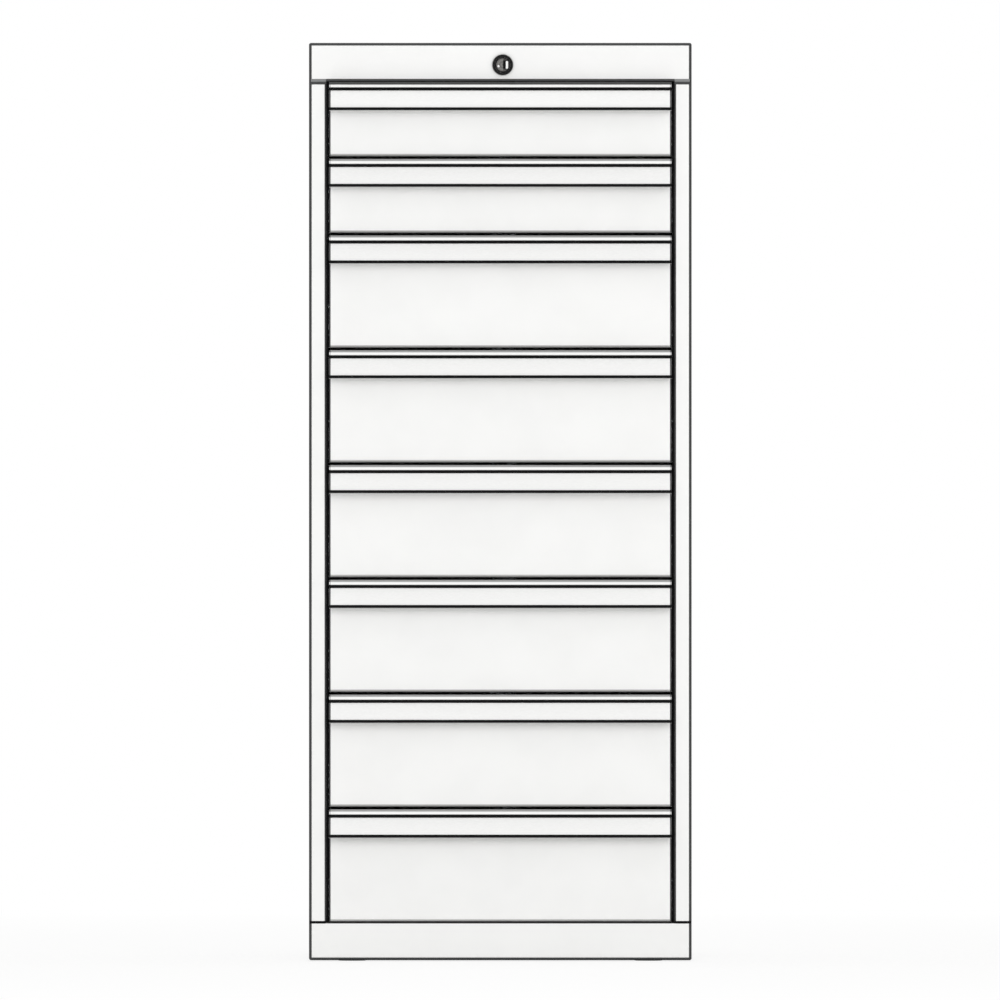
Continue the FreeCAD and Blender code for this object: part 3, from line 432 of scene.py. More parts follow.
def lathe(mesh, profile, centre, steps, angle=0.0, axis="y"):
    # profile is (radius, place along the axis) in millimetres; closed at radius 0
    rings = []
    for radius, along in profile:
        if radius <= 0:
            rings.append([addPoint(mesh, axis, centre[0], centre[1], along)])
            continue
        ring = []
        for i in range(steps):
            turn = angle + 2 * math.pi * i / steps
            u = centre[0] + radius * math.cos(turn)
            v = centre[1] + radius * math.sin(turn)
            ring.append(addPoint(mesh, axis, u, v, along))
        rings.append(ring)
    for a, b in zip(rings, rings[1:]):
        for i in range(steps):
            j = (i + 1) % steps
            corners = [a[i % len(a)], a[j % len(a)], b[j % len(b)], b[i % len(b)]]
            unique = list(dict.fromkeys(corners))
            if len(unique) > 2:
                mesh.faces.new(unique)
    return mesh


def threadRings(radius, depth, pitch, start, end):
    # a thread, drawn as rings
    rings = []
    while start < end:
        rings += [(radius - depth, start + pitch / 2), (radius, start + pitch)]
        start += pitch
    return rings


def hexNut(mesh, bore, flats, bevel, ends, centre, turn=0.0, axis="y"):
    # bevel says how far each corner is cut back, inward and along the axis
    (start, end), (inward, along) = ends, bevel
    corner = flats / math.sqrt(3)
    ring = [(bore, start), (corner - inward, start), (corner, start + along), (corner, end - along)]
    lathe(mesh, ring + [(corner - inward, end), (bore, end), (bore, start)], centre, 6, turn, axis)


def addMesh(mesh, name):
    data = bpy.data.meshes.new(name)
    mesh.to_mesh(data)
    mesh.free()
    return addObject(name, data)


def finished(mesh, name, look, sharp=32):
    bmesh.ops.remove_doubles(mesh, verts=mesh.verts, dist=1e-7)
    bmesh.ops.recalc_face_normals(mesh, faces=mesh.faces)
    for face in mesh.faces:
        face.smooth = True
    for edge in mesh.edges:
        edge.smooth = len(edge.link_faces) == 2 and edge.calc_face_angle(0.0) < math.radians(sharp)
    piece = addMesh(mesh, name)
    piece.data.materials.append(looks[look])
    return piece


def fitted(piece, body, slot, *nodes):
    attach(piece, body)
    if nodes:
        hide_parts(*nodes)


def mounted(mesh, name, look, sharp, body, slot, *nodes):
    fitted(finished(mesh, name, look, sharp), body, slot, *nodes)


def boxOf(node):
    return [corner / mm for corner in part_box(node)]


def softened(piece, width, segments=2):
    # a small round on the sharp edges, baked into the mesh
    bevel = piece.modifiers.new("edges", "BEVEL")
    bevel.width = width * mm
    bevel.segments = segments
    bevel.limit_method = "ANGLE"
    bevel.angle_limit = math.radians(35)
    return baked(piece)


def cutOut(piece, cutter):
    boolean = piece.modifiers.new("cut", "BOOLEAN")
    boolean.operation = "DIFFERENCE"
    boolean.solver = "EXACT"
    boolean.object = cutter
    baked(piece)
    discard(cutter)


def baked(piece):
    bpy.context.view_layer.update()
    graph = bpy.context.evaluated_depsgraph_get()
    data = bpy.data.meshes.new_from_object(piece.evaluated_get(graph))
    piece.modifiers.clear()
    old = piece.data
    piece.data = data
    data.name = piece.name
    bpy.data.meshes.remove(old)
    return piece


# rows of one small shape, made by one node tree

def rowTree():
    tree = bpy.data.node_groups.new("rowOfParts", "GeometryNodeTree")
    tree.interface.new_socket("Geometry", in_out="INPUT", socket_type="NodeSocketGeometry")
    for name, kind in (
        ("Part", "Object"),
        ("Columns", "Int"),
        ("Rows", "Int"),
        ("First", "Vector"),
        ("Column Step", "Vector"),
        ("Row Step", "Vector"),
        ("Turn Axis", "Vector"),
        ("Seed", "Int"),
        ("Finish", "Material"),
    ):
        tree.interface.new_socket(name, in_out="INPUT", socket_type="NodeSocket" + kind)
    tree.interface.new_socket("Geometry", in_out="OUTPUT", socket_type="NodeSocketGeometry")
    given = addNode(tree, "NodeGroupInput").outputs
    line = {"Count": given["Columns"], "Start Location": given["First"], "Offset": given["Column Step"]}
    columns = addNode(tree, "GeometryNodeMeshLine", {}, line)
    rows = addNode(tree, "GeometryNodeMeshLine", {}, {"Count": given["Rows"], "Offset": given["Row Step"]})
    part = addNode(tree, "GeometryNodeObjectInfo", {"transform_space": "ORIGINAL"}, {"Object": given["Part"]})
    copies = {"Points": columns, "Instance": part.outputs["Geometry"]}
    along = addNode(tree, "GeometryNodeInstanceOnPoints", {}, copies)
    turn = addNode(tree, "FunctionNodeRandomValue", {"data_type": "FLOAT"}, {"Seed": given["Seed"]})
    turn.inputs[3].default_value = 2 * math.pi
    turns = {0: given["Turn Axis"], "Scale": turn.outputs[1]}
    axis = addNode(tree, "ShaderNodeVectorMath", {"operation": "SCALE"}, turns)
    row = addNode(tree, "GeometryNodeRotateInstances", {}, {"Instances": along, "Rotation": axis})
    grid = addNode(tree, "GeometryNodeInstanceOnPoints", {}, {"Points": rows, "Instance": row})
    real = addNode(tree, "GeometryNodeRealizeInstances", {}, {"Geometry": grid})
    painted = addNode(tree, "GeometryNodeSetMaterial", {}, {"Geometry": real, "Material": given["Finish"]})
    addNode(tree, "NodeGroupOutput", {}, {0: painted})
    return tree


rowOfParts = rowTree()
socketOf = {item.name: item.identifier for item in rowOfParts.interface.items_tree if item.in_out == "INPUT"}


def rowPiece(name, part, look, columns, first, columnStep, rows, rowStep, turnAxis=(0, 0, 0), seed=1):
    piece = addObject(name, bpy.data.meshes.new(name))
    modifier = piece.modifiers.new("row", "NODES")
    modifier.node_group = rowOfParts
    values = {
        "Part": part,
        "Columns": columns,
        "Rows": rows,
        "First": [c * mm for c in first],
        "Column Step": [c * mm for c in columnStep],
        "Row Step": [c * mm for c in rowStep],
        "Turn Axis": turnAxis,
        "Seed": seed,
        "Finish": looks[look],
    }
    for key, value in values.items():
        modifier[socketOf[key]] = value
    return baked(piece)


def discard(part):
    data = part.data
    bpy.data.objects.remove(part)
    bpy.data.meshes.remove(data)


def joined(name, pieces):
    # merges finished meshes into one piece
    mesh = bmesh.new()
    for piece in pieces:
        mesh.from_mesh(piece.data)
    whole = addMesh(mesh, name)
    for material in pieces[0].data.materials:
        whole.data.materials.append(material)
    for piece in pieces:
        discard(piece)
    return whole


# grip strip, its end caps, the label, and two black strips at the label's top and foot that paint the shade
# of its grooves
# y runs back from the front's face, z down from the grip's top

grip = {
    "face": frontFace / mm,
    "tab": 9,  # how far the top web reaches back
    "nose": -10,
    "noseRound": 2.5,
    "reach": -20,
    "wall": 1.8,
    "leg": -17,  # foot of the leg that lies on the front
    "lipFoot": -5.3,
    "lipWall": 1.4,
    "bedHead": -4.1,
    "bedDepth": 1.1,  # the label's bed lies behind the slope
    # black strips that paint the shade in the label's grooves
    "upperShadeStrip": (-4.9, -8.4),
    "lowerShadeStrip": -26.1,  # from here down to the hook
    "shadeStripOff": (0.2, 0.75),  # how far a shade strip lies behind and before the slope
    "hookHead": -29.1,
    "foot": -29.9,
    "hookBack": 4.0,
    "slopeHead": (-8.3, -5.55),
    "slopeFoot": (-18.15, -28.05),
    "labelDepth": 0.9,
    "labelGap": 0.2,
    "cap": 1.5,
    "capGap": 0.1,
    "capRound": 0.62,
    # a thin dark sheet over the top grip's nose: painted shade of the header
    "shadeSheet": 0.3,
    "shadeSheetBack": -4,
    "shadeSheetFoot": -2.2,
}


def slopeAt(z):
    (y0, z0), (y1, z1) = grip["slopeHead"], grip["slopeFoot"]
    return y0 + (y1 - y0) * (z - z0) / (z1 - z0)


def gripSection():
    g = grip
    wall, lipBack, bed = g["wall"], g["nose"] + g["lipWall"], g["bedDepth"]
    outline = [
        (g["tab"], 0, 0.3),
        (g["nose"], 0, g["noseRound"]),
        (g["nose"], g["lipFoot"], 0.5),
        (lipBack, g["lipFoot"], 0.3),
        (lipBack, g["lipFoot"] + 1.0),
        (slopeAt(g["bedHead"]) + bed, g["bedHead"]),
        (slopeAt(g["hookHead"]) + bed, g["hookHead"]),
        (g["reach"] + 0.6, g["hookHead"], 0.3),
        (g["reach"], g["hookHead"] - 0.3, 0.3),
        (g["reach"], g["foot"], 0.45),
        (g["reach"] + g["hookBack"], g["foot"], 0.8),
        (slopeAt(-wall) + bed + wall, -wall - 0.4, 1.0),
        (-wall, -wall, 0.8),
        (-wall, g["leg"], 0.4),
        (0, g["leg"], 0.4),
        (0, -wall, 0.2),
        (g["tab"], -wall, 0.3),
    ]
    return rounded(outline)


def capSection():
    g = grip
    outline = [
        (0, 0, 0.4),
        (g["nose"], 0, g["noseRound"]),
        (g["nose"], g["lipFoot"], 0.5),
        (g["nose"] + g["lipWall"], g["lipFoot"]),
        (slopeAt(g["hookHead"]) - 0.05, g["hookHead"]),
        (g["reach"], g["hookHead"] - 0.1, 0.3),
        (g["reach"], g["foot"], 0.45),
        (g["reach"] + g["hookBack"], g["foot"], 0.8),
        (0, g["leg"], 0.6),
    ]
    return rounded(outline)


def bandSection(head, foot, behind, before, corner, steps=3):
    # a flat strip along the line from head to foot, each (y, z), from behind that line to before it
    (y0, z0), (y1, z1) = head, foot
    face = [(y0 - before, z0, corner), (y1 - before, z1, corner)]
    return rounded([(y0 + behind, z0), *face, (y1 + behind, z1)], steps=steps)


def placed(section, top):
    return [Vector((p.x + grip["face"], p.y + top)) for p in section]


def buildGrips():
    for number in drawerNumbers:
        node, body = f"drawer_{number}_grip", f"drawer_{number}"
        half, _, top = boxOf(node)[1]
        inner = half - grip["cap"]
        strip = prism(bmesh.new(), placed(gripSection(), top), "x", [(-inner, inner)])
        mounted(strip, f"gripStrip{number}", "gripCoat", 40, body, "grip_coating", node)
        near = inner + grip["capGap"]
        caps = prism(bmesh.new(), placed(capSection(), top), "x", [(-half, -near), (near, half)])
        caps = finished(caps, f"gripCaps{number}", "capPlastic")
        fitted(softened(caps, grip["capRound"], 3), body, "grip_coating", node)
        card = bandSection(grip["slopeHead"], grip["slopeFoot"], grip["labelDepth"], 0, 0.2, 2)
        near = inner - grip["labelGap"]
        label = prism(bmesh.new(), placed(card, top), "x", [(-near, near)])
        mounted(label, f"labelCard{number}", "labelCard", 32, body, "grip_coating", node)
        # black strips paint the shade of the grooves at the label's top and foot
        shadeStrips = bmesh.new()
        for head, foot in (grip["upperShadeStrip"], (grip["lowerShadeStrip"], grip["hookHead"])):
            section = bandSection((slopeAt(head), head), (slopeAt(foot), foot), *grip["shadeStripOff"], 0.3)
            prism(shadeStrips, placed(section, top), "x", [(-half, half)])
        mounted(shadeStrips, f"labelSeals{number}", "gapShadeBlack", 32, body, "grip_coating", node)


def buildTopGripShade():
    # a thin dark strip over the top grip's nose paints the shade that the header casts on it
    half, _, top = boxOf("drawer_1_grip")[1]
    out = grip["shadeSheet"] / 2
    front = grip["nose"] - out
    path = [(grip["shadeSheetBack"], out), (front, out, grip["noseRound"] + out), (front, grip["shadeSheetFoot"])]
    path = placed(rounded(path, closed=False, steps=8), top)
    strip = sheetStrip(bmesh.new(), path, grip["shadeSheet"], "x", -half, half)
    mounted(strip, "topWiper", "darkShadeStrip", 40, "drawer_1", "foot_plastic")


buildGrips()
buildTopGripShade()
print("grips built")


# drawer trays: a bent and hemmed sheet with end walls, spot welds and the lock's catch

tray = {
    "sheet": 1.0,
    "hem": 8,
    "bend": 2.0,
    "endHem": 1.05,
    "endFloor": 1.55,  # middle of the end flanges over the tray's underside
    "endClear": 1.1,
    "endFlange": 12,
    "weld": [(0, 0.22), (1.2, 0.2), (2.2, 0), (2.2, -0.25), (0, -0.25)],  # radius and height
    "weldInset": (9, 12),
    "weldOut": 0.05,
    "catchSheet": 2,
    "catchBend": 2.2,
    "catchHalf": 10,
    "catchRise": 40,
    "catchDrop": 10,
}


def hemmedWall(hemAt, wallAt, head, foot, hem, bend):
    # an open hem along the top, then the wall down to its bend
    corner = tray["sheet"] / 2
    top = head - corner
    return [(hemAt, head - hem), (hemAt, top, corner), (wallAt, top, corner), (wallAt, foot, bend)]


def buildTrays():
    weldPart = finished(lathe(bmesh.new(), tray["weld"], (0, 0), 10), "weldPart", "trayCoat")
    thick, catchThick = tray["sheet"] / 2, tray["catchSheet"] / 2
    for number in drawerNumbers:
        body = f"drawer_{number}"
        low, high = boxOf(f"{body}_box")
        back = boxOf(f"{body}_rails")[1].y
        half = high.x - tray["sheet"]
        side = hemmedWall(half + thick, half - thick, high.z, low.z + thick, tray["hem"], tray["bend"])
        section = rounded(side + [(-x, z, *r) for x, z, *r in reversed(side)], closed=False)
        mesh = sheetStrip(bmesh.new(), section, tray["sheet"], "y", low.y, back)
        for edge, inward in ((low.y, 1), (back, -1)):
            at = edge + thick * inward
            foot = low.z + tray["endFloor"]
            path = hemmedWall(at + inward * tray["endHem"], at, high.z, foot, tray["hem"], tray["bend"])
            path = rounded(path + [(at + inward * tray["endFlange"], foot)], closed=False)
            near = half - tray["endClear"]
            sheetStrip(mesh, path, tray["sheet"], "x", -near, near)
        mounted(mesh, f"drawerTray{number}", "trayCoat", 40, body, "tray_paint", f"{body}_box")
        # the catch, bent from strip
        arm = low.z + tray["catchRise"]
        near, far, tip = back + catchThick, high.y - catchThick, arm - tray["catchDrop"]
        path = [(near, tip), (near, arm, tray["catchBend"]), (far, arm, tray["catchBend"]), (far, tip)]
        left, right = lockX / mm - tray["catchHalf"], lockX / mm + tray["catchHalf"]
        catch = sheetStrip(bmesh.new(), rounded(path, closed=False), tray["catchSheet"], "x", left, right)
        catch = finished(catch, f"lockCatch{number}", "zincSheet", 40)
        fitted(softened(catch, 0.3), body, "zinc_steel")
        # a row of spot welds down each side of the back wall, where it meets the side flanges
        count = 2 if number < 3 else 4
        aside, up = tray["weldInset"]
        pitch = (high.z - low.z - 2 * up) / (count - 1)
        first, step = (aside - half, back + tray["weldOut"], low.z + up), (2 * (half - aside), 0, 0)
        name = f"trayWelds{number}"
        fitted(rowPiece(name, weldPart, "trayCoat", 2, first, step, count, (0, 0, pitch)), body, "tray_paint")
    discard(weldPart)


buildTrays()
print("trays built")


# dividers of the deep drawers: hemmed plates, each bent out into a foot

divider = {"sheet": 1.0, "hem": 6, "hemGap": 1.02, "bend": 1.6, "foot": 12}


def buildDividers():
    for number in range(3, 9):
        body = f"drawer_{number}"
        low, high = boxOf(f"{body}_dividers")
        lane = high.x - divider["foot"]
        foot = low.z + divider["sheet"] / 2
        path = hemmedWall(lane - divider["hemGap"], lane, high.z, foot, divider["hem"], divider["bend"])
        path.append((high.x, foot))
        mesh = bmesh.new()
        for sign in (-1, 1):
            plate = rounded([(sign * x, z, *r) for x, z, *r in path], closed=False)
            sheetStrip(mesh, plate, divider["sheet"], "y", low.y, high.y)
        mounted(mesh, f"laneDividers{number}", "dividerCoat", 40, body, "divider_paint", f"{body}_dividers")


buildDividers()
print("dividers built")


# telescopic runners: three rolled channels with balls between them
# web, mouth and balls are distances from the cabinet's middle plane; ends are set in from the rails' box

rails = {
    "cabinet": {"web": 181.0, "mouth": 170.1, "half": 18, "ends": (0, 0)},
    "middle": {"web": 179.4, "mouth": 170.5, "half": 13.2, "ends": (2, 0)},
    "drawer": {"web": 168.3, "mouth": 176.4, "half": 8.4, "ends": (1, -2)},
}
runner = {
    "sheet": 1.2,
    "shoulder": 3.4,
    "ball": 3.5,
    "ballPitch": 14,
    "ballCount": 14,
    "ballAt": 174.3,
    "ballStart": 70,
    "rows": ((15.0, 172.0), (10.2, 171.4)),  # each row's height from the middle, and its cage's inner edge
    "cage": 0.5,
    "cageOuter": 176.6,
    "cageStart": 60,
    "cageSpare": 6,  # length past the last ball's pitch
}


def railSection(rail, centreZ, sign):
    # channel with sloped shoulders that serve as raceways
    web, mouth, half = rail["web"], rail["mouth"], rail["half"]
    way = 1 if mouth < web else -1
    thick = runner["sheet"] / 2
    shoulder = runner["shoulder"] + thick
    path = [
        (mouth + way * 0.3, half - thick),
        (web - way * shoulder, half - thick, 1.0),
        (web - way * thick, half - shoulder, 1.0),
    ]
    path = path + [(x, -z, *r) for x, z, *r in reversed(path)]
    return rounded([(sign * x, z + centreZ, *r) for x, z, *r in path], closed=False, steps=3)


def ballPart():
    radius = runner["ball"] / 2
    rings = 5
    turns = [math.pi * i / rings for i in range(rings + 1)]
    profile = [(radius * math.sin(turn), -radius * math.cos(turn)) for turn in turns]
    profile[-1] = (0, radius)
    return finished(lathe(bmesh.new(), profile, (0, 0), 8), "ballPart", "ballSteel", 80)


def buildRunners():
    cabinetRails = bmesh.new()
    ball = ballPart()
    count, pitch = runner["ballCount"], runner["ballPitch"]
    step, across = (0, pitch, 0), (2 * runner["ballAt"], 0, 0)
    for number in drawerNumbers:
        body, node = f"drawer_{number}", f"runner_{number}"
        low, high = boxOf(f"{body}_rails")
        middle = (low.z + high.z) / 2
        meshes = {"cabinet": cabinetRails, "middle": bmesh.new(), "drawer": bmesh.new()}
        cages, balls = bmesh.new(), []
        cageFront = low.y + runner["cageStart"]
        cageBack = cageFront + pitch * count + runner["cageSpare"]
        for sign in (-1, 1):
            for kind, mesh in meshes.items():
                front, back = (edge + inset for edge, inset in zip((low.y, high.y), rails[kind]["ends"]))
                section = railSection(rails[kind], middle, sign)
                sheetStrip(mesh, section, runner["sheet"], "y", front, back)
        for kind, rider, replaced in (("drawer", body, f"{body}_rails"), ("middle", node, node)):
            mounted(meshes[kind], f"{kind}Rails{number}", "runnerSteel", 50, rider, "runner_steel", replaced)
        for gap, inner in runner["rows"]:
            for z in (middle - gap, middle + gap):
                for sign in (-1, 1):
                    flat = [Vector((sign * inner, z)), Vector((sign * runner["cageOuter"], z))]
                    sheetStrip(cages, flat, runner["cage"], "y", cageFront, cageBack)
                first = (-runner["ballAt"], low.y + runner["ballStart"], z)
                balls.append(rowPiece("balls", ball, "ballSteel", count, first, step, 2, across))
        mounted(cages, f"ballCages{number}", "cageSteel", 32, node, "runner_steel")
        fitted(joined(f"runnerBalls{number}", balls), node, "runner_steel")
    mounted(cabinetRails, "cabinetRails", "runnerSteel", 50, "carcass", "runner_steel", "cabinet_rails")
    discard(ball)


buildRunners()
print("runners built")


# dark strips that paint shade: one down each stile in the gap beside the drawers, and lines in the seams
# round the carcass

bodyShadeStrips = {
    "gap": (179.7, 182.1),
    "depth": (3.0, 16.5),
    "slant": 0.6,
    "round": 0.8,
    "clear": 0.2,
    "sheet": 0.6,
    "inset": 0.33,
    "stile": 18,
    "corner": 1.9,
    "tuck": 3,  # length that turns in along the stile's inner side
    "return": 14,  # and behind the back corner
    "foot": {"width": 2.7, "shift": 0.65, "inset": 0.24},
    "head": {"width": 1.5, "shift": 0, "inset": 0.4},
}
trim = {"out": 0.2, "top": 2.3, "mid": -0.6, "foot": -3.5, "inner": 182.2, "outer": 198.0, "gap": 0.05}


def buildShadeStrips():
    near, far = bodyShadeStrips["gap"]
    slant = bodyShadeStrips["slant"]
    face = frontFace / mm
    low, high = boxOf("left_side_panel")
    front, back = (face + depth for depth in bodyShadeStrips["depth"])
    span = (low.z + bodyShadeStrips["clear"], high.z - bodyShadeStrips["clear"])
    mesh, corner = bmesh.new(), bodyShadeStrips["round"]
    for sign in (-1, 1):
        outline = [(near, front, corner), (far, front - slant), (far, back), (near, back, corner)]
        prism(mesh, rounded([(sign * x, *rest) for x, *rest in outline]), "z", [span])
    mounted(mesh, "stileDustSeals", "gapShadeBlack", 40, "carcass", "foot_plastic")
    # black lines in the grooves where the sides meet the header and the plinth, painting the seams' shade
    inset, corner = bodyShadeStrips["inset"], bodyShadeStrips["corner"]
    outer = -low.x - inset
    inner = -low.x - bodyShadeStrips["stile"] + inset
    mesh = bmesh.new()
    for seam, bead in ((low.z, bodyShadeStrips["foot"]), (high.z, bodyShadeStrips["head"])):
        front, back = low.y + bead["inset"], high.y - inset
        middle, half = seam + bead["shift"], bead["width"] / 2
        for sign in (-1, 1):
            path = [
                (sign * inner, low.y + bodyShadeStrips["tuck"]),
                (sign * inner, front, 1.2),
                (sign * outer, front, corner),
                (sign * outer, back, corner),
                (sign * (outer - bodyShadeStrips["return"]), back),
            ]
            path = rounded(path, closed=False, steps=6)
            sheetStrip(mesh, path, bodyShadeStrips["sheet"], "z", middle - half, middle + half)
    mounted(mesh, "carcassJointLines", "gapShadeBlack", 40, "carcass", "foot_plastic")
    buildHeaderShade(face, high.z)


def buildHeaderShade(face, seam):
    # a strip along the header's lower edge that paints its seam shade: dark over the drawers, grey over the
    # stiles
    inner, outer = trim["inner"], trim["outer"]
    beside = inner + trim["gap"]
    whole, sides = [(-inner, inner)], [(-outer, -beside), (beside, outer)]
    for name, look, head, foot, spans in (
        ("headerTrim", "darkShadeStrip", trim["top"], -0.1, whole),
        ("stileTrimUpper", "greyShadeStrip", trim["top"], trim["mid"], sides),
        ("stileTrimLower", "darkShadeStrip", trim["mid"] - 0.02, trim["foot"], sides),
    ):
        section = bandSection((face, seam + head), (face, seam + foot), 0.1, trim["out"], 0.3)
        mounted(prism(bmesh.new(), section, "x", spans), name, look, 40, "carcass", "foot_plastic")


buildShadeStrips()
print("seals built")


# lock: turned rim and barrel with a black bezel, hexagon nut, plug with its collar, a keyway in painted shade
# and painted highlights

lock = {
    "rim": 11,
    "lip": 10.5,
    "body": 9.5,
    "bore": 8.1,
    "bodyDepth": 26,
    "thread": 1.0,
    "threadDepth": 0.55,
    "threadFrom": 1.2,
    "nut": 26,
    "nutBevel": (1.2, 0.8),
    "nutSpan": (1.3, 6.3),
    "plug": 7.98,
    "collar": 6.7,
    "dish": 1.35,
    "keyAt": 1.55,
    "keyWidth": 2.2,
    "keyHeight": 8.0,
    "barAt": 4.4,
    "barWidth": 2.2,
    "barHeight": 7.8,
    "dotAt": (-4.4, -1.4),
    "dot": 1.2,
}


def slotOutline(u, v, width, height, corner):
    w, h = width / 2, height / 2
    return rounded([(u + a * w, v + b * h, corner) for a, b in ((-1, -1), (1, -1), (1, 1), (-1, 1))])


def buildLockHousing(face, centre):
    rim, lip, body, bore = lock["rim"], lock["lip"], lock["body"], lock["bore"]
    profile = [(bore, face + 0.4), (bore, face - 0.9), (lip, face - 0.9), (lip, face - 1.75)]
    profile += [(lip + 0.12, face - 1.95), (rim - 0.25, face - 1.9), (rim - 0.08, face - 1.5)]
    profile += [(rim, face - 0.9), (rim, face - 0.3), (rim - 0.2, face - 0.02)]
    start, end = face + lock["threadFrom"], face + lock["bodyDepth"]
    profile += [(body, face - 0.02), (body, start)]
    profile += threadRings(body, lock["threadDepth"], lock["thread"], start, end - 1)
    profile += [(body - 0.5, end), (bore, end), (bore, face + 0.4)]
    mesh = lathe(bmesh.new(), profile, centre, 72)
    nutEnds = [face + along for along in lock["nutSpan"]]
    hexNut(mesh, body, lock["nut"], lock["nutBevel"], nutEnds, centre, math.pi / 6)
    mounted(mesh, "lockHousing", "rimNickel", 34, "carcass", "lock_nickel", "lock_housing")
    inner, outer, back = bore + 0.03, lip - 0.03, face - 0.92
    ring = [(inner, back), (inner, face - 1.6), (bore + 0.3, face - 1.85), (lip - 0.2, face - 1.85)]
    ring += [(outer, face - 1.6), (outer, back), (inner, back)]
    mounted(lathe(bmesh.new(), ring, centre, 72), "lockBezel", "bezelNylon", 40, "carcass", "foot_plastic")


def buildLockPlug(face, centre):
    plug, collar = lock["plug"], lock["collar"]
    back = lockHigh.y / mm
    floor = face - lock["dish"]
    profile = [(0, floor), (collar, floor), (collar, face - 0.7), (plug, face - 0.7), (plug, back), (0, back)]
    piece = finished(lathe(bmesh.new(), profile, centre, 64), "lockPlug", "plugNickel", 34)
    slot = slotOutline(centre[0] + lock["keyAt"], centre[1], lock["keyWidth"], lock["keyHeight"], 0.6)
    cutter = finished(prism(bmesh.new(), slot, "y", [(face - 4, face + 12)]), "keyCutter", "plugNickel")
    for part in (piece, cutter):
        part.data.materials.append(looks["keywayShade"])
    for polygon in cutter.data.polygons:
        polygon.material_index = 1  # the cut's walls take the keyway's near black, painted shade in the slot
    cutOut(piece, cutter)
    fitted(piece, "lock", "plug_nickel", "lock_plug")
    ring = [(collar, floor + 0.2), (collar, face - 1.6), (collar + 0.2, face - 1.8)]
    ring += [(plug - 0.25, face - 1.8), (plug, face - 1.55), (plug, face - 0.72)]
    ring += [(collar, face - 0.72), (collar, floor + 0.2)]
    mounted(lathe(bmesh.new(), ring, centre, 64), "plugCollar", "bezelNylon", 40, "lock", "foot_plastic")
    # painted highlights: a white bar beside the keyway and a white dot, where the plug's face would catch the
    # light
    bar = slotOutline(centre[0] + lock["barAt"], centre[1], lock["barWidth"], lock["barHeight"], 0.5)
    dot, root = lock["dot"], floor + 0.3
    highlightMarks = prism(bmesh.new(), bar, "y", [(floor - 0.12, root)])
    at = (centre[0] + lock["dotAt"][0], centre[1] + lock["dotAt"][1])
    lathe(highlightMarks, [(0, floor - 0.16), (dot - 0.3, floor - 0.14), (dot, floor), (dot, root), (0, root)], at, 24)
    mounted(highlightMarks, "plugMarks", "highlightWhite", 40, "lock", "front_paint")


buildLockHousing(frontFace / mm, (lockX / mm, lockZ / mm))
buildLockPlug(frontFace / mm, (lockX / mm, lockZ / mm))
print("lock built")


# pan head screws of the back panel

screw = {
    "head": [(0, 2.2), (1.6, 2.15), (2.9, 1.85), (3.7, 1.2), (4.0, 0.5), (4.0, 0)],  # radius and height
    "shank": 2,
    "length": 8,
    "cross": (4.4, 0.9),
    "crossDepth": 1.3,
    "rows": 5,
}


def screwPart():
    shank, end, height = screw["shank"], -screw["length"], screw["head"][0][1]
    profile = screw["head"] + [(shank, 0), (shank, end + 1), (shank - 0.9, end), (0, end)]
    head = finished(lathe(bmesh.new(), profile, (0, 0), 24), "screwPart", "screwZinc", 40)
    for width, tall in (screw["cross"], screw["cross"][::-1]):
        deep = (height - screw["crossDepth"], height + 1)
        cut = prism(bmesh.new(), slotOutline(0, 0, width, tall, 0), "y", [deep])
        cutOut(head, finished(cut, "crossCutter", "screwZinc"))
    return head


def buildScrews():
    part = screwPart()
    low, high = boxOf("carcass_screws")
    (_, height), (radius, _) = screw["head"][0], screw["head"][-1]
    pitch = (high.z - low.z - 2 * radius) / (screw["rows"] - 1)
    first = (low.x + radius, high.y - height, low.z + radius)
    step = (high.x - low.x - 2 * radius, 0, 0)
    turnAxis, seed = (0, 1, 0), 7  # each screw stops at its own turn
    up = (0, 0, pitch)
    piece = rowPiece("backScrews", part, "screwZinc", screw["rows"], first, up, 2, step, turnAxis, seed)
    discard(part)
    fitted(piece, "carcass", "screw_steel", "carcass_screws")


buildScrews()
print("screws built")


# levelling feet: a nylon pad moulded round a threaded stud, locked to its plate by two nuts

foot = {
    "pad": [(0, 0), (13.4, 0), (15.2, 0.35), (16, 1.3), (16, 4.0), (15.5, 4.9), (12.0, 5.9), (8.6, 6.6)],
    "neck": [(7.4, 7.2), (7.0, 8.0)],
    "radius": 16,
    "stud": 4,
    "studFrom": 6.5,
    "thread": 1.25,
    "threadDepth": 0.65,
    "threadClear": 0.2,  # over the pad
    "nut": 13,
    "nutBevel": (0.9, 0.7),
    "nutBore": 4.02,
    "nutSpans": ((15.4, 19.95), (23.05, 29.5)),
}


def footProfiles(high):
    stud, padTop = foot["stud"], foot["neck"][-1][1]
    pad = foot["pad"] + foot["neck"] + [(stud, padTop), (0, padTop)]
    start = padTop + foot["threadClear"]
    rod = [(0, foot["studFrom"]), (stud, foot["studFrom"]), (stud, start)]
    rod += threadRings(stud, foot["threadDepth"], foot["thread"], start, high - 1.6)
    return pad, rod + [(stud - 0.8, high), (0, high)]


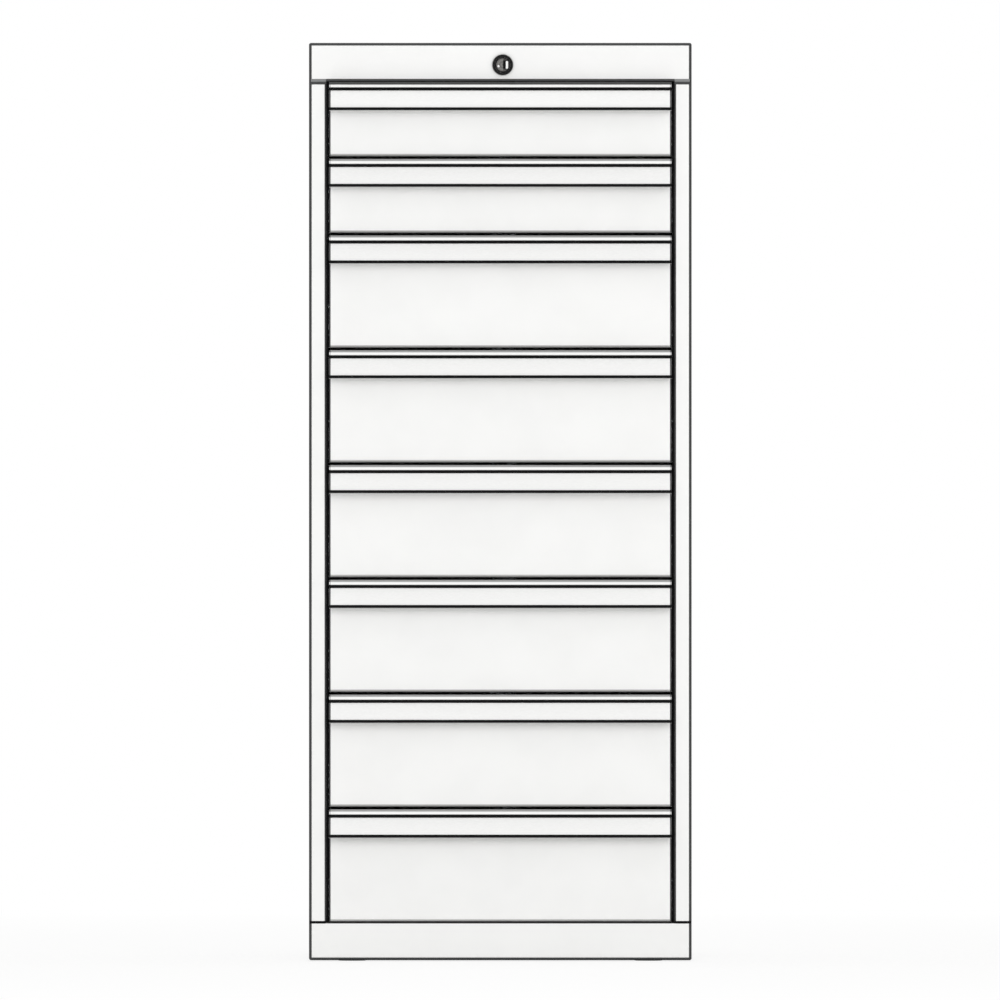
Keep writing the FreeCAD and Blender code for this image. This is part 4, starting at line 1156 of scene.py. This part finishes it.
def buildFeet():
    low, high = boxOf("levelling_feet")
    radius = foot["radius"]
    first = (low.x + radius, low.y + radius, 0)
    across = (high.x - low.x - 2 * radius, 0, 0)
    deep = (0, high.y - low.y - 2 * radius, 0)
    pad, rod = footProfiles(high.z)
    nuts = bmesh.new()
    for span in foot["nutSpans"]:
        hexNut(nuts, foot["nutBore"], foot["nut"], foot["nutBevel"], span, (0, 0), axis="z")
    for name, mesh, look, slot in (
        ("footPads", lathe(bmesh.new(), pad, (0, 0), 48, axis="z"), "footNylon", "foot_plastic"),
        ("footStuds", lathe(bmesh.new(), rod, (0, 0), 24, axis="z"), "zincSheet", "zinc_steel"),
        ("footNuts", nuts, "zincSheet", "zinc_steel"),
    ):
        part = finished(mesh, "footPart", look, 40)
        fitted(rowPiece(name, part, look, 2, first, across, 2, deep), "carcass", slot, "levelling_feet")
        discard(part)


buildFeet()
print("feet built")


# floor, world and lights

studio = {
    "floorHex": "FCFCFB",
    "floorHalf": 7.0,
    "floorLevel": -0.0001,
    "floorGlow": 0.82,
    "shadowReach": (0.6, 3.2),
    "worldFill": 0.6,
    "key": {"place": (0.3, -6.0, 1.5), "size": 3.0, "power": 84},
    "top": {"place": (0.0, 0.3, 4.5), "size": 3.5, "power": 52},
}


def setFloor():
    mesh = bmesh.new()
    half, level = studio["floorHalf"], studio["floorLevel"]
    corners = ((-half, -half), (half, -half), (half, half), (-half, half))
    mesh.faces.new([mesh.verts.new((x, y, level)) for x, y in corners])
    floor = addMesh(mesh, "studioFloor")
    material = bpy.data.materials.new("paleFloor")
    material.use_nodes = True
    tree = material.node_tree
    tree.nodes.clear()
    matt = addNode(tree, "ShaderNodeBsdfDiffuse", {"Color": linear(studio["floorHex"])})
    glow = addNode(tree, "ShaderNodeEmission", {"Strength": 1.0})
    # white to the camera far from the part, so that the floor has no edge, and still in shadow near it
    place = addNode(tree, "ShaderNodeTexCoord").outputs["Object"]
    away = addNode(tree, "ShaderNodeVectorMath", {"operation": "LENGTH"}, {0: place}).outputs["Value"]
    near, far = studio["shadowReach"]
    fade = {"From Min": near, "From Max": far, "To Min": studio["floorGlow"], "To Max": 1.0}
    glowing = addNode(tree, "ShaderNodeMapRange", fade, {"Value": away})
    rays = addNode(tree, "ShaderNodeLightPath").outputs
    inView = {0: rays["Is Camera Ray"], 1: glowing}
    share = addNode(tree, "ShaderNodeMath", {"operation": "MULTIPLY"}, inView)
    mix = addNode(tree, "ShaderNodeMixShader", {}, {0: share, 1: matt, 2: glow})
    addNode(tree, "ShaderNodeOutputMaterial", {}, {"Surface": mix})
    floor.data.materials.append(material)


def setWorld():
    world = bpy.data.worlds.new("paleStudio")
    scene.world = world
    world.use_nodes = True
    tree = world.node_tree
    tree.nodes.clear()
    rays = addNode(tree, "ShaderNodeLightPath").outputs
    seen = rays["Is Camera Ray"]
    for kind in ("Is Transmission Ray", "Is Glossy Ray"):
        seen = addNode(tree, "ShaderNodeMath", {"operation": "MAXIMUM"}, {0: seen, 1: rays[kind]})
    pale = (1, 1, 1, 1)
    fill = addNode(tree, "ShaderNodeBackground", {"Color": pale, "Strength": studio["worldFill"]})
    white = addNode(tree, "ShaderNodeBackground", {"Color": pale, "Strength": 1.0})
    mix = addNode(tree, "ShaderNodeMixShader", {}, {0: seen, 1: fill, 2: white})
    addNode(tree, "ShaderNodeOutputWorld", {}, {"Surface": mix})


def setLight(name, target, place, size, power):
    data = bpy.data.lights.new(name, "AREA")
    data.shape = "DISK"
    data.size = size
    data.energy = power
    light = addObject(name, data)
    light.location = place
    light.rotation_mode = "QUATERNION"
    light.rotation_quaternion = (Vector(target) - Vector(place)).to_track_quat("-Z", "Y")


setFloor()
setWorld()
setLight("frontKey", (0, 0, 0.5), **studio["key"])
setLight("topSoft", (0, 0, 0.9), **studio["top"])
scene.view_settings.view_transform = "Standard"
print("studio set")
